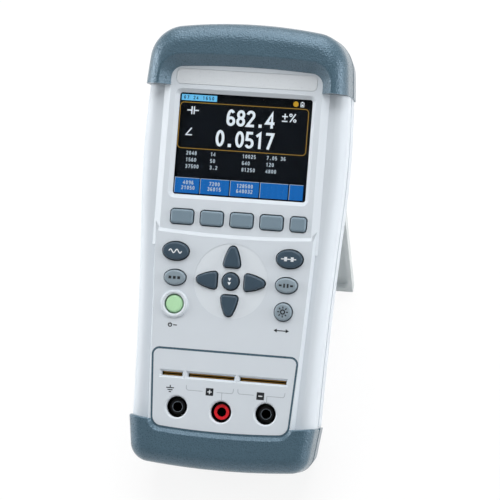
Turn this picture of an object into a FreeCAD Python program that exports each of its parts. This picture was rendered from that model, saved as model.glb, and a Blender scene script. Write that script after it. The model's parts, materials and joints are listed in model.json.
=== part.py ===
import FreeCAD, Part
import math
import os

# Hand-held component tester standing on its tilt stand.
# Case frame: x across the case, y along it towards the display end, z out of the face.
# The display deck lies at z = 0. Sizes are in millimetres, angles in degrees.

V = FreeCAD.Vector

# Case outline
SHOULDER_WIDTH = 7.2
WAIST_Y = 15.0
SIDE_TAPER = 3.8
SIDE_RADIUS = 400.0
FOOT_RADIUS = 1590.0
TOP_RADIUS = 212.0
BOTTOM_RADIUS = 320.0
TOP_CORNER = 14.5
BOTTOM_CORNER = 7.5
REAR_DRAFT = 7.0
SHOULDER_DROP = 2.0
SHOULDER_ROUND = 5.0
BACK_ROUND = 3.4
PARTING_DEPTH = 14.0
PARTING_GROOVE = 1.4
WALL = 1.8

# Rubber bumpers
SKIN = 1.0
BROW_PROUD = 0.7
BROW_WIDTH = 17.6
BROW_HEIGHT = 5.5
BROW_ROUND = 8.0
BROW_SLOPE_RUN = 4.5
BROW_EDGE_ROUND = 1.2
ARCH_CORNER = 5.0
ARCH_SAG = 1.4
ARCH_GAP = 2.0
ARM_END_GAP = 0.8
CHIN_PROUD = 0.85
CHIN_WIDTH = 15.4
CHIN_TAPER = 7.5
CHIN_HEIGHT = 1.4
CHIN_ROUND = 6.5
CHIN_EDGE_RISE = 2.1
CHIN_EDGE_RADIUS = 298.0
CHIN_EDGE_ROUND = 0.7
LIP_RUN = 1.5
BUMPER_BACK_ROUND = 4.4

# Display end of the face
CREASE_Y = 4.5
CREASE_SAG = 1.3
CREASE_BEVEL = 5.2
SOFT_ROW_RISE = 7.9
DISPLAY_GAP = 6.4
DISPLAY_HALF = 28.62
DISPLAY_HEIGHT = 43.1
DISPLAY_SLOPE = 1.7
DISPLAY_SLOPE_DEPTH = 1.6
DISPLAY_CORNER = 1.2
LABEL_GAP = 3.6
LABEL_HALF = 30.2
LABEL_HEIGHT = 6.3
LABEL_CORNER = 2.0
LABEL_THICK = 0.5
LABEL_CLEAR = 0.15
DECK_BEVEL = 3.0
DECK_WALL = 2.2
POCKET_WALL = 1.2

# Keypad end of the face
LOWER_DECK_RISE = 0.8
LOWER_DECK_STEP = 1.35
LOWER_DECK_TAPER = 2.5
LOWER_DECK_BEVEL = 1.1
LOWER_POCKET_WALL = 2.0
PAD_DROP = 17.9
PAD_DISH_RADIUS = 15.8
PAD_DISH_DEPTH = 0.15
ROW_PITCH = 11.1
COLUMN_X = 23.96
COLUMN_LEAN = 0.5

# Keys
KEY_TRAVEL = 1.0
KEY_CLEAR = 0.5
KEY_FLANGE = 0.8
KEY_FLANGE_THICK = 0.8
KEY_GAP = 0.1
PLUNGER_RADIUS = 1.4
PRESS_CLEAR = 0.1
SOFT_KEY_HEIGHT = 6.0
SOFT_KEY_WIDTH = 9.6
SOFT_KEY_PITCH = 12.85
SOFT_KEY_FIRST = -23.2
LAST_SOFT_KEY_WIDTH = 6.6
SOFT_KEY_GAP = 3.35
SOFT_KEY_CORNER = 1.3
SOFT_KEY_PROUD = 1.1
LARGE_OVAL = (11.1, 7.55)
SMALL_OVAL = (9.1, 6.35)
OVAL_PROUD = 1.6
LIGHT_KEY_RADIUS = 3.65
POWER_KEY_RADIUS = 3.7
POWER_KEY_PROUD = 0.5
POWER_COLLAR_WIDTH = 1.7
POWER_COLLAR_HEIGHT = 1.0
POWER_COLLAR_ROUND = 0.8
ARROW_INNER = 5.9
ARROW_TIP = 14.65
ARROW_BASE = 7.1
ARROW_SIDE_RADIUS = 20.0
ARROW_TIP_ROUND = 1.7
ARROW_BASE_ROUND = 1.3
ARROW_PROUD = 1.5
CENTER_KEY_RADIUS = 3.5
CENTER_KEY_PROUD = 1.2
KEY_ROUND = 0.9

# Terminal panel
PANEL_DROP = 30.35
PANEL_RIM = 0.15
PANEL_TAPER = 3.4
PANEL_THICK = 2.4
PANEL_TOP_CORNER = 2.4
PANEL_BOTTOM_CORNER = 4.0
PANEL_SAG = 1.3
PANEL_FOOT = 9.3
PANEL_LEDGE = 1.5
BEAD = 0.9
BEAD_DROP = 0.1
LIP_SEAT = 1.2
SLOT_DROP = 10.15
SLOT_WIDTH = 1.6
SLOT_BEVEL = 0.9
SLOT_BEVEL_DEPTH = 1.2
SLOT_SPANS = {"guard": (-26.7, -17.8), "high": (-15.3, 4.6), "low": (6.95, 26.9)}
JACK_DROP = 13.7
JACK_PITCH = 19.05
JACK_MIDDLE_DROP = 0.7
JACK_HOLE_RADIUS = 4.5
JACK_HOLE_EDGE = 0.6
JACK_SINK = 2.3
SHROUD_WALL = 1.0
INSULATOR_RADIUS = 3.2
INSULATOR_LIP = 1.0
SLEEVE_WALL = 0.6
JACK_BORE_RADIUS = 2.0
JACK_DEPTH = 18.5
SLEEVE_END = 1.0
SLEEVE_CLEAR = 0.1

# Spring contacts behind the slots
LEAF_THICK = 0.4
LEAF_END_GAP = 0.5
LEAF_SLOT_CLEAR = 0.1
LEAF_PINCH = 0.1
LEAF_STANCE = 1.6
LEAF_FOOT = 1.8
LEAF_TOP_GAP = 0.9
LEAF_PINCH_DROP = 3.6

# Display module
WINDOW_MARGIN = 1.8
WINDOW_THICK = 1.2
GASKET_SETBACK = 0.7
LCD_SEAT = 0.1
LCD_MARGIN = 3.4
LCD_THICK = 2.8
LCD_CLEAR = 0.1
LCD_FRAME_WALL = 1.3
LCD_FRAME_FLOOR = 1.2
LCD_EAR_REACH = 4.6
LCD_EAR_WIDTH = 6.0
LCD_EAR_THICK = 2.0
LCD_EAR_INSET = 9.0
RIBBON_WIDTH = 22.0
RIBBON_THICK = 0.3
RIBBON_RUN = 9.0

# Boards
BOARD_ROOM = 2.5
BOARD_THICK = 1.6
BOARD_EDGE_GAP = 9.0
BOARD_TOP_REACH = 5.1
BOARD_BOTTOM_REACH = 3.3
BOARD_POST_RADIUS = 2.6
BOARD_POST_TOP_X = 22.0
BOARD_POST_INSET = 4.0
MAT_CLEAR = 0.1
MAT_THICK = 0.7
MAT_HALF = 28.8
KEYPAD_BOARD_THICK = 1.6
KEYPAD_BOARD_HALF = 33.0
KEYPAD_BOARD_GAP = 0.5
KEYPAD_BOARD_REACH = 6.0
KEYPAD_SCREW_INSET = 2.6
SOLDER_ROOM = 1.7
SHIELD_SIZE = (34.0, 26.0, 2.2)
SHIELD_AT = (8.0, -18.0)
CHIP_SIZE = (14.0, 14.0, 1.4)
CHIP_AT = (-8.0, 24.0)
RELAY_SIZE = (10.0, 6.4, 4.6)
RELAY_PITCH = 13.6
RELAY_COUNT = 4
RELAY_RISE = 9.4
BUZZER_RADIUS = 6.0
BUZZER_HEIGHT = 3.0
BUZZER_AT = (18.0, 5.0)
BUZZER_HOLE = 1.2
USB_AT_Y = -20.0
USB_WIDTH = 7.7
USB_HEIGHT = 3.6
USB_DEPTH = 9.2
USB_SKIN = 0.4
USB_TONGUE = 0.9
USB_CLEAR = 0.5
USB_INSET = 1.3
USB_TAB_MARGIN = 3.0

# Screws
SCREW_RADIUS = 1.4
SCREW_CLEAR = 0.05
SCREW_HEAD_RADIUS = 2.6
SCREW_HEAD_HEIGHT = 1.8
SCREW_WELL_CLEAR = 0.3
SCREW_WELL_DEPTH = 14.0
SCREW_BOSS_WALL = 1.7
SCREW_BITE = 6.0
SCREW_TOP = (30.0, 8.0)
SCREW_BOTTOM = (28.5, 6.6)
SMALL_SCREW_RADIUS = 1.0
SMALL_SCREW_HEAD_RADIUS = 1.9
SMALL_SCREW_HEAD_HEIGHT = 1.2
BOARD_SCREW_BITE = 5.0
KEYPAD_SCREW_BITE = 2.0
LCD_SCREW_BITE = 1.8
SCREW_SLOT_WIDTH = 0.6

# Battery bay
CELL_COUNT = 4
CELL_DIAMETER = 14.2
CELL_LENGTH = 49.2
CELL_NIB_RADIUS = 2.6
CELL_NIB_LENGTH = 1.0
CELL_GAP = 0.3
CELL_CLEAR = 0.2
CONTACT_THICK = 0.5
CONTACT_WIDTH = 9.0
CONTACT_BUTTON_RADIUS = 3.0
CONTACT_ROOM = 1.6
CONTACT_GAP = 0.05
BAY_MIDDLE_Y = 2.0
BAY_WALL = 1.2
COVER_THICK = 1.6
COVER_LEDGE = 1.5
COVER_LEDGE_THICK = 1.6
COVER_CLEAR = 0.15
COVER_CORNER = 3.0
COVER_TAB = 9.0
COVER_TAB_HALF = 8.0

# Tilt stand
STAND_HALF = 34.0
STAND_LENGTH = 96.0
STAND_THICK = 4.2
STAND_PLATE = 1.6
STAND_FLANGE = 2.0
STAND_LIP = 2.2
STAND_CORNER = 3.0
STAND_OPEN = 47.1
STAND_HEEL = 3.2
STAND_BRIDGE = 5.0
STAND_SIDE_CLEAR = 0.4
STAND_FLOOR_CLEAR = 0.3
STAND_SINK = 0.1
STAND_STOP_CLEAR = 0.1
HINGE_Y = 54.0
HINGE_PIN_RADIUS = 1.5
HINGE_PIN_LENGTH = 1.8
HINGE_PIN_CLEAR = 0.06
HINGE_END_CLEAR = 0.3
RECESS_WALL = 1.6
POCKET_FLOOR = 1.6
SCOOP_RADIUS = 9.0
SCOOP_DEPTH = 3.0

FAR = 300.0

# Places along the face, worked out from the crease between the two decks
soft_row_y = CREASE_Y + SOFT_ROW_RISE
display_bottom = soft_row_y + SOFT_KEY_HEIGHT / 2 + DISPLAY_GAP
display_top = display_bottom + DISPLAY_HEIGHT
display_y = (display_bottom + display_top) / 2
label_bottom = display_top + LABEL_GAP
label_top = label_bottom + LABEL_HEIGHT
arch_top = label_top + ARCH_GAP
case_top = arch_top + BROW_WIDTH
arm_end = label_bottom - ARM_END_GAP
pad_y = CREASE_Y - PAD_DROP
upper_pocket_low = soft_row_y - SOFT_KEY_HEIGHT / 2 - KEY_FLANGE - KEY_CLEAR
lower_pocket_top = pad_y + max(ROW_PITCH + LARGE_OVAL[1] / 2, ARROW_TIP) + KEY_FLANGE + KEY_CLEAR
panel_top = pad_y - PANEL_DROP
slot_y = panel_top - SLOT_DROP
jack_y = slot_y - JACK_DROP
panel_bottom = jack_y - PANEL_FOOT
case_bottom = panel_bottom - CHIN_WIDTH

# Widths, worked out from the soft key row
last_soft_left = SOFT_KEY_FIRST + 3 * SOFT_KEY_PITCH + SOFT_KEY_WIDTH / 2 + SOFT_KEY_GAP
soft_row_right = last_soft_left + LAST_SOFT_KEY_WIDTH
deck_half = soft_row_right + KEY_FLANGE + KEY_CLEAR + POCKET_WALL
lower_deck_half = deck_half + LOWER_DECK_STEP
waist_half = deck_half + DECK_BEVEL + SHOULDER_WIDTH

# Depths, worked out from the display deck backwards
shoulder_z = -SHOULDER_DROP
parting_z = -PARTING_DEPTH
groove_top = parting_z + PARTING_GROOVE
lower_deck_z = LOWER_DECK_RISE
ceiling_z = shoulder_z - SKIN - WALL
window_back = -DECK_WALL - WINDOW_THICK
lcd_front = ceiling_z - LCD_SEAT
lcd_back = lcd_front - LCD_THICK
lcd_frame_back = lcd_back - LCD_FRAME_FLOOR
board_top = lcd_frame_back - BOARD_ROOM
board_low = board_top - BOARD_THICK
bay_roof = board_low - SOLDER_ROOM - BAY_WALL
cell_z = bay_roof - CELL_CLEAR - CELL_DIAMETER / 2
cover_top = cell_z - CELL_DIAMETER / 2 - CELL_CLEAR
recess_floor = cover_top - COVER_THICK
back_z = recess_floor - STAND_FLOOR_CLEAR - STAND_THICK - STAND_SINK
mat_top = ceiling_z - MAT_CLEAR
mat_low = mat_top - MAT_THICK
plunger_low = mat_top + KEY_TRAVEL + PRESS_CLEAR
keypad_board_low = mat_low - KEYPAD_BOARD_THICK
panel_low = lower_deck_z - PANEL_THICK
insulator_front = lower_deck_z - JACK_SINK
sleeve_front = insulator_front - INSULATOR_LIP
hinge_z = back_z + STAND_SINK + STAND_THICK / 2


def line(start, end):
    """Straight edge in plan between two (x, y) points."""
    return Part.LineSegment(V(*start, 0), V(*end, 0)).toShape()


def arc(start, middle, end):
    """Round edge in plan through three (x, y) points."""
    return Part.Arc(V(*start, 0), V(*middle, 0), V(*end, 0)).toShape()


def slab(face, low, high):
    """Solid over a plan face from one height to another."""
    solid = face.extrude(V(0, 0, high - low))
    solid.translate(V(0, 0, low))
    return solid


def box(x_span, y_span, z_span):
    """Plain block between three pairs of limits."""
    size = [span[1] - span[0] for span in (x_span, y_span, z_span)]
    return Part.makeBox(*size, V(x_span[0], y_span[0], z_span[0]))


def rod(radius, x, y, low, high):
    """Round bar along z."""
    return Part.makeCylinder(radius, high - low, V(x, y, low))


def round_uprights(solid, corners, radius):
    """Round the upright edges that stand on the given plan corners."""
    picked = []
    for edge in solid.Edges:
        ends = [vertex.Point for vertex in edge.Vertexes]
        if len(ends) < 2 or abs(ends[0].z - ends[1].z) < 1e-6:
            continue
        if any(math.hypot(ends[0].x - x, ends[0].y - y) < 1e-4 for x, y in corners):
            picked.append(edge)
    return solid.makeFillet(radius, picked)


def round_rim(solid, height, radius):
    """Round every edge that lies flat at the given height."""
    rim = [edge for edge in solid.Edges
           if all(abs(vertex.Z - height) < 1e-5 for vertex in edge.Vertexes)]
    return solid.makeFillet(radius, rim)


def round_crest(solid, neighbours, above, radius):
    """Round the edges, all above a height, that lie on the skin of any neighbouring solid."""
    crest = []
    for edge in solid.Edges:
        middle = Part.Vertex(edge.valueAt((edge.FirstParameter + edge.LastParameter) / 2))
        if min(vertex.Z for vertex in edge.Vertexes) > above and any(
                neighbour.Shells[0].distToShape(middle)[0] < 1e-4 for neighbour in neighbours):
            crest.append(edge)
    return solid.makeFillet(radius, crest)


def base_wire(solid, height):
    """Outline of a slab's lowest face, moved to a height."""
    lowest = min(solid.Faces, key=lambda face: face.CenterOfMass.z)
    wire = lowest.OuterWire.copy()
    wire.translate(V(0, 0, height - lowest.CenterOfMass.z))
    return wire


def taper(lower_wire, upper_wire):
    """Straight-sided solid between two outlines at different heights."""
    return Part.makeLoft([lower_wire, upper_wire], True, True)


def rounded_slab(x_half, y_span, z_span, radius):
    """Block centred across the case with rounded plan corners."""
    solid = box((-x_half, x_half), y_span, z_span)
    corners = [(side * x_half, y) for side in (-1, 1) for y in y_span]
    return round_uprights(solid, corners, radius)


def both_sides(points):
    """The given (x, y) points and their mirror images."""
    return [(side * x, y) for x, y in points for side in (-1, 1)]


# Case outline

def side_circle(grow):
    """Centre and radius of the bulging side above the waist."""
    lean = math.radians(SIDE_TAPER)
    centre = (waist_half - SIDE_RADIUS * math.cos(lean), WAIST_Y + SIDE_RADIUS * math.sin(lean))
    return centre, SIDE_RADIUS + grow


def foot_circle(grow):
    """Centre, outside the case, and radius of the hollow side below the waist."""
    lean = math.radians(SIDE_TAPER)
    centre = (waist_half + FOOT_RADIUS * math.cos(lean), WAIST_Y - FOOT_RADIUS * math.sin(lean))
    return centre, FOOT_RADIUS - grow


def waist_point(grow):
    """Point where the bulging side runs into the hollow one."""
    lean = math.radians(SIDE_TAPER)
    return (waist_half + grow * math.cos(lean), WAIST_Y - grow * math.sin(lean))


def meetings(first, second):
    """Both crossings of two circles, each given as (centre, radius)."""
    (ax, ay), ra = first
    (bx, by), rb = second
    gap = math.hypot(bx - ax, by - ay)
    along = (ra * ra - rb * rb + gap * gap) / (2 * gap)
    across = math.sqrt(ra * ra - along * along)
    ux, uy = (bx - ax) / gap, (by - ay) / gap
    return [(ax + along * ux - side * across * uy, ay + along * uy + side * across * ux)
            for side in (-1, 1)]


def on_circle(centre, radius, towards):
    """Point of a circle in the direction of another point."""
    share = radius / math.dist(centre, towards)
    return tuple(c + share * (t - c) for c, t in zip(centre, towards))


def midpoint(first, second):
    """Point half way between two others."""
    return tuple((a + b) / 2 for a, b in zip(first, second))


def last_crossing(start, heading, circle):
    """Point where a straight run along a unit heading leaves a circle."""
    (x, y), radius = circle
    dx, dy = start[0] - x, start[1] - y
    along = dx * heading[0] + dy * heading[1]
    reach = math.sqrt(along ** 2 - dx ** 2 - dy ** 2 + radius ** 2) - along
    return (start[0] + reach * heading[0], start[1] + reach * heading[1])


def chin_edge_y(x):
    """Place along the case of the chin's shallow upper edge."""
    return panel_bottom + CHIN_EDGE_RISE + CHIN_EDGE_RADIUS - math.sqrt(CHIN_EDGE_RADIUS ** 2 - x ** 2)


def chin_flank(grow):
    """Start and unit heading of the chin's straight flank, from the case's side down."""
    (x, y), radius = foot_circle(0)
    level = chin_edge_y(waist_half)
    side = x - math.sqrt(radius ** 2 - (level - y) ** 2)
    lean = math.radians(CHIN_TAPER)
    start = (side + grow * math.cos(lean), level - grow * math.sin(lean))
    return start, (-math.sin(lean), -math.cos(lean))


def case_slab(grow, low, high):
    """Case outline grown by an amount, as a slab with rounded corners."""
    side = side_circle(grow)
    foot = foot_circle(grow)
    crown = ((0, case_top - TOP_RADIUS), TOP_RADIUS + grow)
    sole = ((0, case_bottom + BOTTOM_RADIUS), BOTTOM_RADIUS + grow)
    top = max(meetings(side, crown), key=lambda point: point[1])
    flank = chin_flank(grow)
    knee = last_crossing(*flank, foot)
    bottom = last_crossing(*flank, sole)
    waist = waist_point(grow)
    hollow = on_circle(*foot, midpoint(knee, waist))
    bulge = on_circle(*side, midpoint(waist, top))
    right = [bottom, knee, hollow, waist, bulge, top]
    left = [(-x, y) for x, y in right]
    edges = [
        line(bottom, knee),
        arc(knee, hollow, waist),
        arc(waist, bulge, top),
        arc(top, (0, case_top + grow), left[5]),
        arc(left[5], left[4], left[3]),
        arc(left[3], left[2], left[1]),
        line(left[1], left[0]),
        arc(left[0], (0, case_bottom - grow), bottom),
    ]
    solid = slab(Part.Face(Part.Wire(edges)), low, high)
    solid = round_uprights(solid, both_sides([top]), TOP_CORNER + grow)
    return round_uprights(solid, both_sides([bottom]), BOTTOM_CORNER + grow)


def front_block(grow, low, front_z, rounding):
    """Solid front half of the case with a rounded front rim."""
    return round_rim(case_slab(grow, low, front_z), front_z, rounding)


def rear_block(grow, back, rounding):
    """Solid rear half of the case, drawn in towards a rounded back rim."""
    inset = (parting_z - back) * math.tan(math.radians(REAR_DRAFT))
    front_wire = base_wire(case_slab(grow, 0, 1), parting_z)
    back_wire = base_wire(case_slab(grow - inset, 0, 1), back)
    return round_rim(taper(back_wire, front_wire), back, rounding)


def top_zone():
    """Space that the top bumper covers."""
    return box((-FAR, FAR), (arm_end, FAR), (-FAR, FAR))


def bottom_zone():
    """Space that the bottom bumper covers, under a shallow curve."""
    edge_half = 2 * waist_half
    edge_y = chin_edge_y(edge_half)
    corners = [(-edge_half, edge_y), (edge_half, edge_y), (edge_half, -FAR), (-edge_half, -FAR)]
    edges = [
        arc(corners[0], (0, chin_edge_y(0)), corners[1]),
        line(corners[1], corners[2]),
        line(corners[2], corners[3]),
        line(corners[3], corners[0]),
    ]
    return slab(Part.Face(Part.Wire(edges)), -FAR, FAR)


# Face decks

def upper_deck():
    """Raised display deck with sloped sides, running on under the brow."""
    base = deck_half + DECK_BEVEL
    depth = shoulder_z - SKIN
    reach = base + (shoulder_z - depth) * DECK_BEVEL / SHOULDER_DROP
    corners = [V(-reach, 0, depth), V(reach, 0, depth), V(deck_half, 0, 0), V(-deck_half, 0, 0)]
    face = Part.Face(Part.makePolygon(corners + corners[:1]))
    deck = face.extrude(V(0, arch_top + BROW_SLOPE_RUN, 0))
    return deck


def lower_deck_half_at(y):
    """Half width of the keypad deck's top at a place along the case."""
    return lower_deck_half - (CREASE_Y - y) * math.tan(math.radians(LOWER_DECK_TAPER))


def lower_deck_wire(grow, height):
    """Outline of the keypad deck at a height, grown by an amount."""
    top = CREASE_Y + grow * CREASE_BEVEL / LOWER_DECK_BEVEL
    bottom = panel_bottom - CHIN_WIDTH / 3
    top_half = lower_deck_half_at(CREASE_Y) + grow
    bottom_half = lower_deck_half_at(bottom) + grow
    right_top = (top_half, top + CREASE_SAG)
    left_top = (-top_half, top + CREASE_SAG)
    edges = [
        arc(left_top, (0, top), right_top),
        line(right_top, (bottom_half, bottom)),
        line((bottom_half, bottom), (-bottom_half, bottom)),
        line((-bottom_half, bottom), left_top),
    ]
    wire = Part.Wire(edges)
    wire.translate(V(0, 0, height))
    return wire


def lower_deck():
    """Raised keypad deck with sloped sides."""
    depth = shoulder_z - SKIN
    rise = lower_deck_z - depth
    spread = LOWER_DECK_BEVEL * rise / (lower_deck_z - shoulder_z)
    return taper(lower_deck_wire(spread, depth), lower_deck_wire(0, lower_deck_z))


def panel_slab(grow, low, high):
    """Terminal panel outline, grown by an amount, as a slab."""
    top_half = lower_deck_half_at(panel_top) - BEAD - PANEL_RIM + grow
    side_bottom = panel_bottom + PANEL_SAG - grow
    height = panel_top + grow - side_bottom
    bottom_half = top_half - height * math.tan(math.radians(PANEL_TAPER))
    top = (top_half, panel_top + grow)
    bottom = (bottom_half, side_bottom)
    left_top = (-top_half, panel_top + grow)
    left_bottom = (-bottom_half, side_bottom)
    edges = [
        line(left_top, top),
        line(top, bottom),
        arc(bottom, (0, panel_bottom - grow), left_bottom),
        line(left_bottom, left_top),
    ]
    solid = slab(Part.Face(Part.Wire(edges)), low, high)
    solid = round_uprights(solid, [top, left_top], PANEL_TOP_CORNER + grow)
    return round_uprights(solid, [bottom, left_bottom], PANEL_BOTTOM_CORNER + grow)


def arch_wire(grow, height):
    """Inner outline of the brow at a height, grown by an amount."""
    half = deck_half + grow
    side = arch_top + grow - ARCH_SAG
    low = arm_end - BROW_WIDTH
    edges = [
        line((-half, low), (half, low)),
        line((half, low), (half, side)),
        arc((half, side), (0, arch_top + grow), (-half, side)),
        line((-half, side), (-half, low)),
    ]
    solid = slab(Part.Face(Part.Wire(edges)), 0, 1)
    solid = round_uprights(solid, both_sides([(half, side)]), ARCH_CORNER + grow)
    return base_wire(solid, height)


# Keys: each outline is a function of how far it is grown

def oval_outline(x, y, width, height):
    """Outline of an oval key."""
    def face(grow):
        if abs(width - height) < 1e-9:
            curve = Part.Circle(V(x, y, 0), V(0, 0, 1), width / 2 + grow)
        else:
            curve = Part.Ellipse(V(x, y, 0), width / 2 + grow, height / 2 + grow)
        return Part.Face(Part.Wire([curve.toShape()]))
    return face


def bar_outline(x, y, width, height, corner):
    """Outline of a bar-shaped key with rounded corners."""
    def face(grow):
        half_x = width / 2 + grow
        half_y = height / 2 + grow
        solid = rounded_slab(half_x, (y - half_y, y + half_y), (0, 1), corner + grow)
        outline = Part.Face(base_wire(solid, 0))
        outline.translate(V(x, 0, 0))
        return outline
    return face


def arrow_outline(turn):
    """Outline of one key of the four-way pad, turned about the pad's centre."""
    tip = (0.0, ARROW_TIP - ARROW_TIP_ROUND)
    heel = (ARROW_BASE / 2 - ARROW_BASE_ROUND, ARROW_INNER + ARROW_BASE_ROUND)
    flank = min(meetings((tip, ARROW_SIDE_RADIUS - ARROW_TIP_ROUND),
                         (heel, ARROW_SIDE_RADIUS - ARROW_BASE_ROUND)))

    def face(grow):
        reach = ARROW_SIDE_RADIUS + grow
        tip_side = on_circle(flank, reach, tip)
        heel_side = on_circle(flank, reach, heel)
        bulge = on_circle(flank, reach, midpoint(tip_side, heel_side))
        base_end = (heel[0], ARROW_INNER - grow)
        corner = on_circle(heel, ARROW_BASE_ROUND + grow, midpoint(heel_side, base_end))
        right = [base_end, corner, heel_side, bulge, tip_side]
        left = [(-x, y) for x, y in right]
        edges = [
            line(left[0], right[0]),
            arc(*right[0:3]),
            arc(*right[2:5]),
            arc(right[4], (0, ARROW_TIP + grow), left[4]),
            arc(left[4], left[3], left[2]),
            arc(left[2], left[1], left[0]),
        ]
        outline = Part.Face(Part.Wire(edges))
        outline.rotate(V(0, 0, 0), V(0, 0, 1), turn)
        outline.translate(V(0, pad_y, 0))
        return outline
    return face


def side_key_place(side, row):
    """Centre of a key in the left (-1) or right (1) column, on a row above or below the pad's."""
    return side * (COLUMN_X + row * COLUMN_LEAN), pad_y + row * ROW_PITCH


def key_table():
    """Every key as name: (outline, centre x, centre y, deck height, proud height)."""
    keys = {}
    for number in range(4):
        x = SOFT_KEY_FIRST + number * SOFT_KEY_PITCH
        outline = bar_outline(x, soft_row_y, SOFT_KEY_WIDTH, SOFT_KEY_HEIGHT, SOFT_KEY_CORNER)
        keys[f"soft_key_{number + 1}"] = (outline, x, soft_row_y, 0, SOFT_KEY_PROUD)
    x = last_soft_left + LAST_SOFT_KEY_WIDTH / 2
    outline = bar_outline(x, soft_row_y, LAST_SOFT_KEY_WIDTH, SOFT_KEY_HEIGHT, SOFT_KEY_CORNER)
    keys["soft_key_5"] = (outline, x, soft_row_y, 0, SOFT_KEY_PROUD)
    light_size = (2 * LIGHT_KEY_RADIUS, 2 * LIGHT_KEY_RADIUS)
    power_size = (2 * POWER_KEY_RADIUS, 2 * POWER_KEY_RADIUS)
    side_keys = [
        ("measure_key", -1, 1, LARGE_OVAL, OVAL_PROUD),
        ("setup_key", 1, 1, LARGE_OVAL, OVAL_PROUD),
        ("system_key", -1, 0, SMALL_OVAL, OVAL_PROUD),
        ("hold_key", 1, 0, SMALL_OVAL, OVAL_PROUD),
        ("power_key", -1, -1, power_size, POWER_KEY_PROUD),
        ("light_key", 1, -1, light_size, OVAL_PROUD),
    ]
    for name, side, row, size, proud in side_keys:
        x, y = side_key_place(side, row)
        keys[name] = (oval_outline(x, y, *size), x, y, lower_deck_z, proud)
    reach = (ARROW_INNER + ARROW_TIP) / 2
    for name, turn in (("up_key", 0), ("left_key", 90), ("down_key", 180), ("right_key", 270)):
        x = -reach * math.sin(math.radians(turn))
        y = pad_y + reach * math.cos(math.radians(turn))
        keys[name] = (arrow_outline(turn), x, y, lower_deck_z, ARROW_PROUD)
    size = 2 * CENTER_KEY_RADIUS
    keys["center_key"] = (oval_outline(0, pad_y, size, size), 0, pad_y, lower_deck_z, CENTER_KEY_PROUD)
    return keys


def make_key(outline, x, y, deck_z, proud):
    """Key cap with its retaining flange and the plunger under it."""
    flange_top = deck_z - DECK_WALL - KEY_GAP
    flange_low = flange_top - KEY_FLANGE_THICK
    cap = round_rim(slab(outline(0), flange_low, deck_z + proud), deck_z + proud, KEY_ROUND)
    flange = slab(outline(KEY_FLANGE), flange_low, flange_top)
    plunger = rod(PLUNGER_RADIUS, x, y, plunger_low, flange_low)
    return cap.fuse([flange, plunger]).removeSplitter()


# Fasteners

def case_screw_places():
    """Centres of the four screws that hold the two half shells together."""
    top = (SCREW_TOP[0], arm_end + SCREW_TOP[1])
    bottom = (SCREW_BOTTOM[0], jack_y + SCREW_BOTTOM[1])
    return both_sides([top, bottom])


def board_screw_places():
    """Centres of the four screws that hold the main board."""
    top = (BOARD_POST_TOP_X, board_span()[1] - BOARD_POST_INSET)
    bottom = (JACK_PITCH / 2, board_span()[0] + BOARD_POST_INSET)
    return both_sides([top, bottom])


def keypad_screw_places():
    """Centres of the four screws that hold the keypad board."""
    x = MAT_HALF + MAT_CLEAR + SMALL_SCREW_HEAD_RADIUS
    rib_y = (upper_pocket_low + lower_pocket_top) / 2
    return both_sides([(x, keypad_board_span()[0] + KEYPAD_SCREW_INSET), (x, rib_y)])


def lcd_screw_places():
    """Centres of the four screws that hold the display frame."""
    x = lcd_frame_half() + LCD_EAR_REACH / 2
    low, high = lcd_frame_span()
    return both_sides([(x, low + LCD_EAR_INSET), (x, high - LCD_EAR_INSET)])


def screw(x, y, seat, head_side, bite, radius, head_radius, head_height):
    """Slotted screw whose head sits at a height, on the +z or -z side of its seat."""
    head_span = sorted((seat, seat + head_side * head_height))
    shank_span = sorted((seat, seat - head_side * bite))
    head = rod(head_radius, x, y, *head_span)
    shank = rod(radius, x, y, *shank_span)
    slot_floor = seat + head_side * head_height / 2
    slot_span = sorted((slot_floor, slot_floor + head_side * head_height))
    half = SCREW_SLOT_WIDTH / 2
    slot = box((x - head_radius, x + head_radius), (y - half, y + half), slot_span)
    return head.fuse(shank).cut(slot).removeSplitter()


def small_screws(places, seat, head_side, bite):
    """Group of small screws with their heads on one side."""
    return Part.makeCompound([
        screw(x, y, seat, head_side, bite, SMALL_SCREW_RADIUS, SMALL_SCREW_HEAD_RADIUS,
              SMALL_SCREW_HEAD_HEIGHT)
        for x, y in places
    ])


# Display module sizes

def window_span():
    """Low and high y of the display window."""
    return display_bottom - WINDOW_MARGIN, display_top + WINDOW_MARGIN


def lcd_half():
    """Half width of the display module."""
    return DISPLAY_HALF + LCD_MARGIN


def lcd_span():
    """Low and high y of the display module."""
    return display_bottom - LCD_MARGIN, display_top + LCD_MARGIN


def lcd_frame_half():
    """Half width of the display frame's tray."""
    return lcd_half() + LCD_CLEAR + LCD_FRAME_WALL


def lcd_frame_span():
    """Low and high y of the display frame's tray."""
    edge = LCD_CLEAR + LCD_FRAME_WALL
    return lcd_span()[0] - edge, lcd_span()[1] + edge


def keypad_board_span():
    """Low and high y of the keypad board."""
    low = pad_y - ARROW_TIP - KEYPAD_BOARD_REACH
    return low, lcd_frame_span()[0] - KEYPAD_BOARD_GAP


def board_half():
    """Half width of the main board."""
    return waist_half - SKIN - WALL - BOARD_EDGE_GAP - COVER_LEDGE


def board_span():
    """Low and high y of the main board."""
    return panel_bottom - BOARD_BOTTOM_REACH, display_top + BOARD_TOP_REACH


def jack_places():
    """Centres of the three jacks, left to right."""
    return {
        "guard": (-JACK_PITCH, jack_y),
        "high": (0.0, jack_y - JACK_MIDDLE_DROP),
        "low": (JACK_PITCH, jack_y),
    }


def usb_wall_x():
    """Outer face of the case's left wall beside the data socket."""
    (x, y), radius = foot_circle(0)
    return math.sqrt(radius ** 2 - (USB_AT_Y - y) ** 2) - x


# Case halves

def front_core():
    """Front half under the bumpers, as a solid block."""
    return front_block(-SKIN, parting_z, shoulder_z - SKIN, SHOULDER_ROUND - SKIN)


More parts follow.
